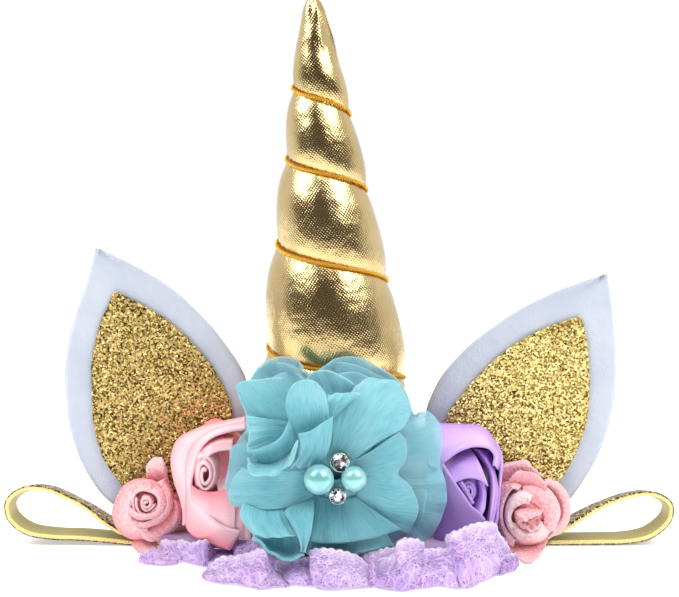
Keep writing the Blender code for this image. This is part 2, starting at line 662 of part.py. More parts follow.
def build():
    clear_scene()
    felt = principled("white_felt", (0.80, 0.82, 0.93), 0.95)
    glitter = principled("gold_glitter", (0.62, 0.42, 0.10), 0.45, 0.7)
    salmon = principled("salmon_chiffon", (0.93, 0.46, 0.46), 0.9)
    make_band(principled("gold_elastic", (0.55, 0.42, 0.12), 0.5, 0.5))
    make_base(principled("lilac_felt", (0.70, 0.55, 0.80), 0.95))
    make_horn(principled("gold_lame", (0.85, 0.62, 0.28), 0.30, 0.9))
    make_cord(principled("gold_cord", (0.90, 0.55, 0.08), 0.4, 0.8))
    for side, outer, inner in (("left", EAR_FELT_LEFT, EAR_GLITTER_LEFT),
                               ("right", EAR_FELT_RIGHT, EAR_GLITTER_RIGHT)):
        make_ear("ear_felt_" + side, outer, outer, EAR_FRONT, FELT_THICK, felt)
        make_ear("ear_glitter_" + side, inner, outer, GLITTER_FRONT, GLITTER_THICK, glitter)
    rose_seat = GLITTER_FRONT - GAP
    pink = principled("pink_satin", (0.95, 0.55, 0.60), 0.35)
    make_rose("satin_rose_pink", ROSE_PINK, rose_seat, pink)
    purple = principled("purple_satin", (0.52, 0.30, 0.80), 0.35)
    make_rose("satin_rose_purple", ROSE_PURPLE, rose_seat, purple)
    make_rose("chiffon_rose_left", ROSE_SMALL_LEFT, rose_seat, salmon)
    make_rose("chiffon_rose_right", ROSE_SMALL_RIGHT, rose_seat, salmon)
    make_flower(principled("teal_chiffon", (0.30, 0.72, 0.74), 0.8))
    pearl = principled("teal_pearl", (0.45, 0.80, 0.80), 0.2)
    make_pearl("pearl_left", PEARL_LEFT, pearl)
    make_pearl("pearl_right", PEARL_RIGHT, pearl)
    crystal = principled("crystal", (0.85, 0.86, 0.88), 0.1, 0.3)
    make_rhinestone("rhinestone_top", RHINESTONE_TOP, crystal)
    make_rhinestone("rhinestone_bottom", RHINESTONE_BOTTOM, crystal)
    make_lace(principled("lilac_lace", (0.75, 0.58, 0.90), 0.8))


build()
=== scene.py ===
"""Looks of the unicorn horn headband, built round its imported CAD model.

Each fabric piece is a smooth surface through a short table of control points in millimetres, in the part's
own frame: x to the right, z up, and `forward`, the distance in front of the band's middle line.
"""

import math

import bmesh
import bpy
import numpy as np
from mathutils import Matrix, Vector


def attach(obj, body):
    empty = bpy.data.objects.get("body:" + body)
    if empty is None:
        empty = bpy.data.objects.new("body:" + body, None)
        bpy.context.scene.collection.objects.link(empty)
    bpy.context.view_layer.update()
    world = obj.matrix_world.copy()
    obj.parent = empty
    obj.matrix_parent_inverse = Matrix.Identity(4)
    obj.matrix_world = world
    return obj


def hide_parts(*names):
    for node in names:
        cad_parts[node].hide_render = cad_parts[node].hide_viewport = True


MM = 0.001
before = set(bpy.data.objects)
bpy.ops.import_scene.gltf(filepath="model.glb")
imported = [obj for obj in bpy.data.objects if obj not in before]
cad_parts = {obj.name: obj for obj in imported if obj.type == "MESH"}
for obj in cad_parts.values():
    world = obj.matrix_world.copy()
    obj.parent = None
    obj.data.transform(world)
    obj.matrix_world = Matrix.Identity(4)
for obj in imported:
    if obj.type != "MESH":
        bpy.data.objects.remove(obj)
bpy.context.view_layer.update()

# Shared with the CAD source, in millimetres
GAP = 0.3
BAND_WIDTH = 10.0
BAND_THICK = 1.6
BAND_LOW_STRAIGHT = 60.0
BAND_HIGH_STRAIGHT = 64.0
BASE_HALF_LENGTH = 62.0
BASE_FRONT = 27.0
BASE_BACK = 21.0
BASE_BOTTOM = 3.8
BASE_TOP = 5.8
SEAT = 6.1
HORN_FOOT_X = 1.9
HORN_LEAN = -0.0585
HORN_TIP = 169.5
HORN_SHOULDER = 156.0
CORD_RADIUS = 0.75
CORD_START = 0.2
CORD_END = 5.15
FELT_THICK = 2.0
GLITTER_THICK = 0.8
GLITTER_FRONT = -1.3
EAR_CUP = 2.0
EAR_CUP_START = 22.0
EAR_CUP_RISE = 45.0
FLOWER_X = -1.2
FLOWER_Z = 32.5
FLOWER_BACK = -24.1
FLOWER_FRONT = -38.0

# Creases across the skin beside the cord and soft lumps between its turns: how far they reach, how deep.
PLEAT_REACH = 0.13
PLEAT_DEPTH = 0.07
LUMP_DEPTH = 0.22

# Gap between the bottom of the horn's groove and the cord.
CORD_LIFT = 0.15

# The horn's tip: where its rounding starts, the rounding's radius, middle and height, where the skin starts
# to be gathered and over what height that grows, and the creases as angle, depth and width in radians.
TIP_ROUNDING = 167.6
TIP_RADIUS = 2.6
TIP_MIDDLE = 167.2
TIP_HEIGHT = 2.3
GATHER_START = 160.0
GATHER_RISE = 9.0
TIP_CREASES = ((-1.75, 0.9, 0.35), (-0.3, 0.5, 0.3), (2.4, 0.6, 0.35), (1.1, 0.5, 0.3))

# Width that an ear's columns are counted for.
EAR_WIDTH = 46.0

# Least height of cloth over the table.
CLEARANCE = 0.3

# Place of each layer along a piece's cloth map after the one before, so that no two look the same.
GRID_STEP = 37.0

# Distance between the ridges of a wave texture whose scale is 1, in metres.
WAVE_PERIOD = 0.31416

# The photo's camera: place in metres, degrees that it looks down, and focal length and width in pixels.
CAMERA_PLACE = (0.0, -0.400, 0.115)
CAMERA_DOWN = 5.38
FOCAL_PIXELS = 1290.0
PHOTO_WIDTH = 679.0
SENSOR_WIDTH = 36.0

# Lights: name, place, the point they face, side length in metres and power in watts.
LIGHTS = (
    ("softbox_left", (-0.73, -0.38, 0.97), (0.0, 0.0, 0.08), 0.75, 9.5),
    ("softbox_right", (0.66, -0.47, 0.97), (0.0, 0.0, 0.08), 0.75, 9.5),
    ("overhead", (0.0, 0.1, 1.2), (0.0, 0.0, 0.0), 1.0, 2.5))

# Height of the horn's groove at each half turn of its helix, from the first turn down.
GROOVE_HEIGHTS = {
    -1.0: 172.0, -0.5: 161.0, 0.0: 151.5, 0.5: 142.2, 1.0: 134.3, 1.5: 120.7, 2.0: 111.2, 2.5: 94.6,
    3.0: 83.1, 3.5: 62.4, 4.0: 52.6, 4.5: 25.9, 5.0: 16.0, 5.5: -8.0, 6.0: -20.0, 6.5: -44.0}

# Height: radius of the stuffed horn over its swellings.
HORN_RADII = {
    -50.0: 24.2, 6.0: 24.2, 30.0: 24.0, 48.5: 23.3, 61.0: 22.3, 72.0: 21.2, 88.7: 18.2, 106.0: 15.4,
    118.0: 13.0, 128.5: 11.3, 140.0: 9.0, 146.0: 8.0, 153.7: 6.3, 162.7: 4.1, 166.0: 3.3, 168.2: 2.3}

# Height: how deep the cord pinches the horn.
GROOVE_DEPTHS = {-50.0: 2.2, 30.0: 2.4, 110.0: 2.4, 130.0: 2.1, 143.0: 1.6, 152.0: 0.5, 156.0: 0.0}

# Height, left edge, right edge of each ear.
EAR_FELT_LEFT = (
    (SEAT, -61.0, -40.5), (11.5, -71.6, -36.0), (18.0, -77.6, -32.0), (28.5, -82.8, -28.2),
    (40.0, -85.5, -26.8), (52.0, -86.0, -29.2), (66.0, -84.2, -37.6), (74.5, -81.4, -45.2),
    (82.0, -78.6, -54.0), (88.5, -76.6, -65.0), (92.8, -75.4, -74.4))
EAR_FELT_RIGHT = (
    (SEAT, 38.5, 62.0), (12.0, 34.0, 71.8), (19.0, 30.6, 77.0), (28.0, 28.3, 81.8), (40.0, 27.0, 85.4),
    (50.0, 30.2, 86.6), (62.0, 39.6, 86.3), (70.0, 49.6, 85.4), (76.0, 59.5, 84.6), (81.0, 70.6, 83.7),
    (84.8, 82.2, 83.0))
EAR_GLITTER_LEFT = (
    (SEAT + 1.5, -59.5, -43.5), (12.0, -63.8, -40.5), (19.0, -69.2, -36.4), (28.9, -75.1, -33.3),
    (41.5, -77.4, -33.6), (55.0, -77.5, -39.0), (63.0, -76.2, -45.2), (70.0, -74.3, -52.6),
    (75.6, -71.8, -61.5), (79.6, -70.0, -69.2))
EAR_GLITTER_RIGHT = (
    (SEAT + 1.5, 42.0, 58.5), (12.0, 37.6, 63.0), (19.5, 33.8, 69.4), (29.0, 31.7, 74.4), (39.5, 33.3, 77.6),
    (49.1, 39.7, 78.2), (58.0, 48.0, 77.8), (64.5, 56.6, 77.0), (69.0, 66.0, 76.0), (71.8, 74.4, 75.0))

# Points round the outside of each flattened bend of the band, from its lower to its upper run.
BAND_BEND_LEFT = (
    (-66.0, 0.0), (-74.0, 0.9), (-82.0, 1.5), (-90.0, 1.8), (-98.0, 3.2), (-103.4, 7.2), (-104.8, 12.0),
    (-102.4, 16.0), (-97.0, 18.3), (-90.6, 17.6), (-84.7, 15.0), (-78.9, 11.8), (-73.0, 7.6), (-68.5, 5.1))
BAND_BEND_RIGHT = (
    (66.0, 0.0), (74.0, 0.1), (82.0, 0.2), (90.0, 0.4), (97.5, 2.0), (103.0, 6.2), (104.6, 10.5),
    (103.0, 14.0), (98.0, 16.3), (91.0, 15.7), (82.0, 12.4), (74.6, 8.3), (68.5, 5.0))

# How far the front edge of each bend's upper run turns up, in radians, and the heights over which that grows.
BAND_TILT = 0.2
BAND_TILT_START = 4.0
BAND_TILT_RISE = 8.0

# How far the glitter wraps on to the band's edge.
BAND_COAT = 0.55

# Beads and stones in front of the flower: x, z, radius.
PEARL_LEFT = (-5.8, 30.1, 4.25)
PEARL_RIGHT = (4.1, 30.1, 3.55)
RHINESTONE_TOP = (0.1, 34.5, 2.8)
RHINESTONE_BOTTOM = (-0.5, 24.8, 2.5)

# Backs of the roses, just in front of the ears, and how wide the wrapped petals are there.
ROSE_BACK = 1.9
WRAP_SHARE = 0.84

# Petals: rows of points from the root to the rim. A row is its forward, or one forward for each point,
# and then x and z of each point along the petal's width.
FLOWER_BACK_PETALS = {
    "back_top": (
        (28, -3.6, 43.7, -0.9, 44.2, 1.8, 44.6, 4.4, 44.2, 7.6, 43.3),
        (26.5, -5, 53, -1.4, 54.3, 3.1, 55.2, 8, 53.9, 13.4, 50.7),
        (27, -4.1, 59.8, -0.9, 61.9, 3.1, 62.6, 8, 61.4, 13.8, 57.4)),
    "back_top_right": (
        (29, 5.3, 43.5, 8, 42.6, 10.2, 40.7, 11.6, 38.5),
        (27, 9.4, 53.1, 13, 51.7, 15.7, 48.5, 17, 44.9),
        (27.5, 10.7, 59.9, 16, 56.5, 19.6, 51.3, 21.6, 44.5)),
    "back_top_left": (
        (28, -15.7, 44.2, -13.4, 45.1, -11.2, 46, -9, 46.4, -7.2, 46.4),
        (26.5, -22.4, 51.6, -19.3, 53.9, -15.7, 55, -12.1, 54.3, -8.5, 52.5),
        (27, -26.9, 53.5, -23.5, 59.5, -18.3, 62.3, -13.4, 61.9, -9.2, 58)),
    "right_upper": (
        (33, 7.9, 38, 8.8, 37.5, 9.7, 36.6, 10.1, 35.3, 10.1, 33.5, 9.7, 31.7),
        (30.5, 14.2, 46, 16.4, 43.8, 18.6, 42.9, 20.4, 39.7, 20.9, 36.1, 20, 32),
        (30, 19.3, 49.5, 22, 46.1, 25.3, 47.1, 28.9, 43.2, 29.5, 37.3, 28.8, 30.5)),
    "right_lower": (
        (33, 9.7, 27.6, 10.6, 26.7, 11.1, 25.4, 11.1, 24, 10.6, 22.6, 9.7, 21.3, 8.9, 20.4),
        (30.5, 20.5, 29.7, 23.2, 27, 24.5, 23.4, 24.1, 19.7, 22.8, 16.5, 20.6, 14.3, 17.9, 13.3),
        (29.5, 28.3, 32, 30.2, 27.7, 31.2, 22.7, 30.7, 18.6, 28.7, 13.5, 25.1, 8.7, 20.4, 9.5)),
    "left_back": (
        (35, -11.5, 29.4, -11.9, 29, -12.4, 28.1, -12.4, 27.2, -12.2, 26.3, -11.7, 25.8),
        (33, -21.3, 35.3, -23.5, 33.5, -24.4, 30.3, -24.9, 27.2, -24.4, 24.4, -22.7, 21.7),
        (31.5, -27.3, 38.5, -31.1, 36.7, -32, 31.3, -32.9, 26.3, -32.3, 22.3, -30.6, 18.9)),
}

FLOWER_PETALS = {
    "top_middle": (
        (34, -4, 39.1, -2.7, 40, -1.4, 40.9, 0.4, 41.7, 2.2, 42.6),
        (33, -8, 50.9, -5.3, 51.8, -2.2, 52.3, 0.4, 51.8, 3.1, 50.5),
        (34, -9.7, 56.2, -7.9, 58.7, -4.9, 59.4, -0.9, 58.7, 4.1, 55.3)),
    "left_top": (
        (35, -12.3, 37.5, -11.9, 39.3, -11, 41.1, -10.1, 42.8, -8.8, 43.7),
        (35.5, -19.3, 39.4, -18.9, 42.9, -17.1, 46.5, -15.4, 49.2, -13.2, 50.5),
        (36.5, -23.7, 40.5, -24.1, 45.4, -22.7, 49.3, -19.7, 52.9, -15.3, 54.6),
        (37, -25.8, 42.3, -27.1, 49.9, -29.1, 55.7, -22.7, 57.4, -16.1, 57.6)),
    "big_top_right": (
        (36.5, -2.9, 35.1, -2, 35.8, -1.1, 36.2, -0, 36.5, 1.1, 36.2, 2.2, 35.4, 3.5, 34.2),
        (37.5, -2, 39.8, -0.2, 41.6, 1.7, 42.9, 3.7, 43.3, 5.4, 42.4, 6.7, 40.2, 8.1, 37.6),
        (38.5, -1.6, 45.7, 1.5, 48.4, 4.7, 49.7, 7.8, 49.7, 10.4, 47.9, 11.9, 44.4, 12.4, 40.7),
        (37, 1.7, 51.6, 4.8, 54.3, 7.8, 55.6, 11.3, 55.6, 14.3, 53.4, 16.5, 49, 15.5, 42.1),
        (35, 4.3, 55.5, 7.4, 57.2, 10.9, 57.6, 14.4, 57, 17.5, 55, 20.1, 49.1, 18.2, 43.1)),
    "big_right": (
        (36, 3.7, 33.8, 4.6, 32.3, 5.2, 30.6, 5.7, 28.3, 5.5, 26.3, 5, 24.7, 4.6, 23.4),
        (37.5, 8.5, 36.8, 9.6, 34.9, 10.5, 32.2, 10.9, 29.1, 10.9, 25.6, 10.1, 22.9, 8.5, 20.2),
        (38, 13.3, 40.3, 14.4, 37.7, 14.6, 33.7, 14.2, 29.7, 15.5, 25.2, 15.1, 20.8, 13.1, 16.3),
        (36, 16.6, 42.1, 19, 39.5, 18.4, 34.1, 16.9, 29.8, 20.4, 25.9, 22.4, 19.8, 19.2, 11.9)),
    "left_middle": (
        (36.5, -9, 31.6, -9.7, 29.3, -9.7, 27.5, -9, 25.8, -7.5, 23.7),
        (38.5, -15.3, 31.6, -16.6, 28.9, -17.1, 26.2, -16.2, 24, -13.2, 21.6),
        (40, -21.8, 31.5, -23.5, 28.8, -24, 26.2, -23.1, 23.5, -19.6, 20.8),
        (38.5, -27.5, 32.5, -30.5, 28.5, -31, 25.4, -30, 22.7, -26.5, 21.3)),
    "bottom_left_outside": (
        (39, -27.5, 23, -23.6, 21.5, -20.1, 20.8, -15.8, 20.4),
        (42, -28, 19.2, -23.5, 17.8, -19.1, 17.4, -14.1, 17.8),
        (44, -24.6, 14.9, -20.3, 14.1, -16, 14.3, -12.2, 14.8)),
    "bottom_left_pocket": (
        (39, -24.8, 15.7, -20.2, 15.2, -15.8, 15.2, -11.8, 14.3),
        (38.5, -23.1, 11.5, -19.1, 9.7, -15.4, 8.8, -11.7, 10.6),
        (41, -22.7, 11.2, -19, 8.9, -15.3, 7.5, -11.1, 8.4),
        (44.5, -24.1, 14.3, -19.5, 10.1, -14.7, 7.7, -10, 9.3)),
    "bottom_left_fold": (
        (38.5, -9.7, 22.9, -8.3, 23.2, -7.4, 23.5),
        (41.5, -15.4, 21, -11.3, 21.5, -7.2, 20.8),
        (44.5, -13.9, 18.3, -10.8, 18.3, -7.5, 18.1),
        (45.5, -11.9, 14.9, -10.1, 14.7, -8.1, 14.6),
        (44.5, -10.7, 10.6, -10.2, 9.8, -9.4, 10.1)),
    "bottom_under": (
        (37, -7.9, 16.5, -3.6, 15.1, 0.8, 15.1, 5.2, 15.6, 9.6, 16.5, 11.8, 16.9),
        (38.5, -8.4, 11.5, -3.5, 10.6, 0.8, 10.6, 5.2, 11.3, 9.6, 12.2, 13.3, 13.7),
        (40, -9.4, 8.1, -4.4, 8.4, -0, 8.2, 4.3, 8.2, 9.6, 9.4, 15.3, 10.5)),
    "bottom": (
        (36.5, -6.2, 24, -4, 23.3, -1.8, 22.8, 0.4, 22.6, 2.6, 23, 4.4, 23.6),
        (38.5, -6.9, 20, -4.4, 19.6, -1.6, 19.3, 1.3, 19.6, 4.3, 20.2, 8.5, 21.1),
        (40.5, -7.5, 16.1, -4.6, 15.6, -1.1, 15.6, 2.8, 16.2, 7.4, 17.2, 12.9, 18.5),
        (42, -8.2, 12.7, -4.8, 11.9, -0.9, 11.9, 4.3, 12.5, 10.4, 13.7, 17, 15.8)),
    "left_fold": (
        (36.5, -14.5, 45.4, -14, 43.1, -14, 40.9),
        (38.5, -20, 46.6, -19.4, 43.5, -19.4, 40),
        (41, -25.8, 48, -25.1, 43.1, -25.7, 37.8)),
    "scoop_back": (
        (44.5, -25.5, 38.7, -22.5, 39.2, -19.1, 40.5, -16.1, 43, -14.1, 47.1),
        (40.5, -24.1, 36.5, -20.8, 36.9, -17.6, 38.2, -14.8, 40.4, -13, 43.9),
        (38.5, -23.6, 33.4, -20.3, 33.1, -17, 34.2, -14.2, 36.5, -12, 40)),
    "scoop_lip": (
        (38.5, -23.6, 33.8, -20.3, 33.6, -17, 34.7, -14.2, 36.9, -12, 40.4),
        (43, -25, 35, -22.9, 33.5, -19.4, 33.3, -15.5, 35, -12.1, 39.2),
        (46, -25.6, 37.2, -24.8, 33.3, -20.5, 32.2, -15.4, 34.4, -11.5, 42),
        (44, -25.5, 34.2, -24.1, 31.8, -20.4, 31.2, -15.9, 32.9, -13, 35.9)),
    "scoop_right": (
        (44.5, -11.5, 43.5, -8.2, 44.3, -4.9, 46.5, -1.8, 48.5),
        (43.5, -11.1, 40.2, -8.2, 41, -5, 42.3, -2.1, 43.4),
        (41, -11.8, 36.1, -9.1, 36.6, -6.1, 37.4, -3.1, 38.4),
        (38, -14.2, 32.6, -11, 32.7, -7.9, 33.2, -4.9, 33.9)),
    "upright": (
        (38, -13.1, 39.9, -10.9, 39.9, -8.7, 40.3, -6.1, 41.2, -3.5, 41.7),
        (41, -14.4, 46.4, -11.9, 47.3, -9.3, 48, -6.1, 48, -3, 47.1),
        (43.5, -15.1, 51, -12.2, 52.3, -9.4, 53, -6, 52.8, -3.2, 51),
        (43, -14.6, 54.4, -12.4, 57.2, -9.4, 58.2, -6.4, 57.4, -3.9, 54.4)),
    "folded_tip": (
        (39, -3.5, 46.7, -2.5, 46.7, -1.7, 46.9),
        (40.5, -3.6, 51.4, -0.7, 51.3, 2, 50.8),
        (39.5, -3.3, 53.4, 1.3, 54, 5.9, 54)),
}

# Painted shade on the front petals: how bright each one is drawn, darkest on the lower ones and those tucked
# under the others.
FLOWER_PAINTED_SHADE = {"bottom": 0.55, "bottom_under": 0.70, "bottom_left_pocket": 0.70, "bottom_left_fold": 0.92,
                "left_middle": 0.90, "big_right": 0.86, "scoop_back": 0.80, "left_top": 0.95,
                "top_middle": 0.9}

# Pink satin rose
PINK_PETALS = {
    "outer_back": (
        ((14, 14, 14, 14, 14, 14, 14, 15, 16, 17, 18), -28.6, 42.6, -33.8, 41.6, -39.6, 40.3, -44.8, 38.4,
         -49, 35.8, -50.8, 32.1, -51.1, 27.5, -50.1, 22.7, -48.4, 18, -47.4, 14.3, -47.2, 10.5),
        ((18.5, 18.5, 18.5, 18.5, 18.5, 18.5, 18.5, 18.5, 18.5, 19, 19.5), -28.3, 42.8, -33.1, 42,
         -38.8, 40.4, -43.4, 38.2, -46.8, 35.6, -48.4, 32.1, -48.9, 28.2, -48.2, 23.9, -46.9, 19.3,
         -45.9, 15.1, -45.9, 11.2),
        ((20, 20, 20, 20, 20, 20, 20, 20, 20, 19.5, 19), -28.2, 42.5, -32.7, 41.9, -38.1, 40.1, -42, 37.8,
         -44.9, 35, -46.1, 31.9, -46.6, 28.5, -46.3, 24.5, -45.5, 20.3, -44.8, 15.9, -44.9, 11.7)),
    "outer": (
        ((17, 17, 17, 17, 17, 17, 17, 17, 17, 18.5, 21.5, 23.5, 25), -28.1, 42.5, -34.8, 41.4, -39.9, 39.8,
         -43.8, 37.3, -46.1, 34.3, -47.2, 30.9, -47.6, 27.5, -47.4, 23.8, -47.1, 17.7, -46.9, 11.9,
         -44.5, 8.4, -39, 6.2, -32.6, 4.4),
        ((20.8, 20.8, 20.8, 20.8, 20.8, 20.8, 20.8, 20.8, 20.8, 21.5, 23, 24.5, 26), -27.9, 42, -33.8, 41.1,
         -38.5, 39.5, -41.9, 37, -43.9, 34.3, -45.1, 31.3, -45.6, 28.1, -45.8, 24.6, -45.5, 20.8,
         -44.6, 16.7, -41.8, 12.8, -37.3, 9.7, -30.7, 7.7),
        ((22.3, 22.3, 22.3, 22.3, 22.3, 22.3, 22.3, 22.3, 22.3, 23, 24.5, 26, 27), -27.8, 41.1, -32.5, 40.5,
         -37.3, 38.9, -40.3, 36.7, -42.2, 34.2, -43.4, 31.2, -44.1, 28, -44.6, 24.8, -44.4, 21.4,
         -42.5, 18.1, -39.2, 14.7, -35.1, 11.8, -29.4, 10.1)),
    "second": (
        (20, -31.5, 38.1, -36, 37.8, -39.6, 36.6, -42, 34, -43.4, 30.6, -44.1, 27, -43.6, 23),
        (22.6, -31.6, 37, -35.5, 36.7, -38.6, 35.4, -40.9, 33.2, -42.2, 30.3, -42.7, 27, -42.5, 23.3),
        (23.4, -31.7, 35, -35.4, 34.7, -38.1, 33.7, -40.1, 31.7, -41.3, 29.1, -41.7, 26.3, -41.5, 23.2)),
    "flap": (
        (24.5, -44.2, 24.4, -41.6, 22.7, -38.6, 22.1, -35.6, 22.4, -31.2, 23.5),
        (24.8, -44.1, 21.3, -41, 19.8, -37.5, 18.6, -33.9, 18.3, -30.7, 18.7),
        ((21.5, 23.2, 24.3, 25, 25.6), -44.2, 18.8, -40.5, 14.7, -37, 11.5, -34, 9.7, -31.1, 8.3)),
    "strip": (
        (23, -31.2, 23.1, -28.7, 22.5, -26.1, 22.2),
        (24.5, -31, 16.1, -28.8, 15.5, -26.1, 15.2),
        (25.2, -31.2, 8.5, -29, 8.2, -26.4, 7.8)),
    "inner_right": (
        (19, -39.6, 31.4, -36.1, 32, -31.6, 32.7),
        (19.5, -37.8, 26.5, -35.5, 26.5, -33.1, 26.8),
        (23.5, -36.1, 22.3, -34.5, 22.3, -32.8, 22.7)),
}
# Rolled hearts: the middle's x and z, forward, radii at the start and the end, height over width, turns,
# depth, how much wider the foot is, the starting angle in degrees and how far the end falls back.
PINK_BUDS = (((-39.8, 27.2), 25.0, (0.9, 3.3), 1.75, 2.2, 7.0, 2.2, 60.0, 1.5),)

# Purple satin rose
PURPLE_PETALS = {
    "wrap": (
        (3, 43.5, 34.5, 45.6, 29.5, 46.2, 23, 45.8, 17, 44, 11, 40, 7.4),
        (9, 46.6, 35.4, 48.3, 30, 48.8, 23.5, 48.2, 17, 46.6, 10, 41, 6.4),
        (15.5, 46.8, 35, 48.4, 30, 48.4, 23.5, 47.8, 17, 46.8, 9.6, 41, 6.4)),
    "top": (
        (14, 28.5, 40.4, 33.3, 40.3, 37.4, 40.2, 40.9, 40.1, 43.6, 39.3, 46.1, 36.9, 48, 33, 48.8, 30.5,
         48, 26.2),
        (20, 28.9, 35.4, 32.9, 37, 36.6, 37.8, 39.8, 38.3, 42.7, 38.1, 44.9, 36.7, 46.5, 34.1, 47.6, 31.6,
         47.2, 28),
        (22.5, 30.2, 30.4, 32.7, 32.4, 35.3, 34.2, 38, 35.3, 40.6, 35.8, 43.5, 35.7, 45.3, 34.7, 46.7, 32.5,
         46.5, 29.3)),
    "band": (
        (17, 31.1, 29.5, 33.4, 31.5, 35.6, 33, 37.2, 33.8, 38.5, 34.5),
        (20.5, 31.7, 28.1, 34.2, 29.8, 36.9, 31.1, 39, 31.9, 40.6, 32.2),
        (22.5, 32.7, 26.4, 35.4, 28.1, 38, 29.1, 40.4, 29.1, 42.5, 28.3),
        (23, 34, 24.7, 36.3, 25.8, 38.8, 26.3, 41.5, 25.6, 44.2, 23.8)),
    "right": (
        ((17, 20, 18), 39.6, 33.8, 41.7, 33.9, 44.9, 33),
        ((18, 21.5, 18), 41.7, 31.7, 43.4, 31.6, 45.8, 30.9),
        ((18, 22, 18), 43.8, 28.4, 45, 28.5, 46.7, 27),
        ((18, 22, 17), 45.1, 24.8, 45.8, 24.7, 47.8, 22.4),
        ((18, 22, 17), 45.4, 20.7, 45.9, 21.4, 47.9, 20.2),
        ((17, 21, 16), 45.2, 15.8, 45.5, 16.8, 47.7, 16.1),
        ((16, 19, 15), 44.2, 10, 45, 10.6, 46.8, 9.3)),
    "left": (
        (17, 28, 29, 28.1, 24.1, 28.7, 19.1, 29.2, 14.1, 29, 8.1, 29.6, 5, 35.2, 7.2),
        (22, 28.7, 29.9, 29.8, 25.8, 31.2, 21.7, 32.8, 17.6, 33.9, 12.7, 35.3, 9.7, 39, 10.4),
        (24, 30.1, 30.2, 32.1, 27, 34.1, 24, 36.4, 20.7, 38.7, 17.4, 41.2, 15.3, 42.9, 13.1)),
    "crescent": (
        (19.5, 41, 24.2, 41.6, 21.6, 41.2, 18.9, 39.8, 16.4, 39, 15.8),
        (22, 41.8, 24.6, 42.7, 22, 42.5, 19, 41.1, 16, 40.2, 15.2),
        (21, 43, 23.8, 43.7, 21.5, 43.7, 17.9, 42.7, 14.5, 41.8, 13.7)),
    "bar": (
        (19.5, 34.5, 23.8, 36.7, 20.3, 38.8, 16.7),
        (21.5, 35.2, 24.3, 37.2, 21, 39.2, 17.2),
        (22, 36, 24.6, 37.7, 21.7, 39.7, 17.6)),
}
PURPLE_BUDS = (((38.9, 21.1), 21.5, (0.5, 2.4), 1.65, 2.6, 6.0, 1.6, 90.0, 1.0),)

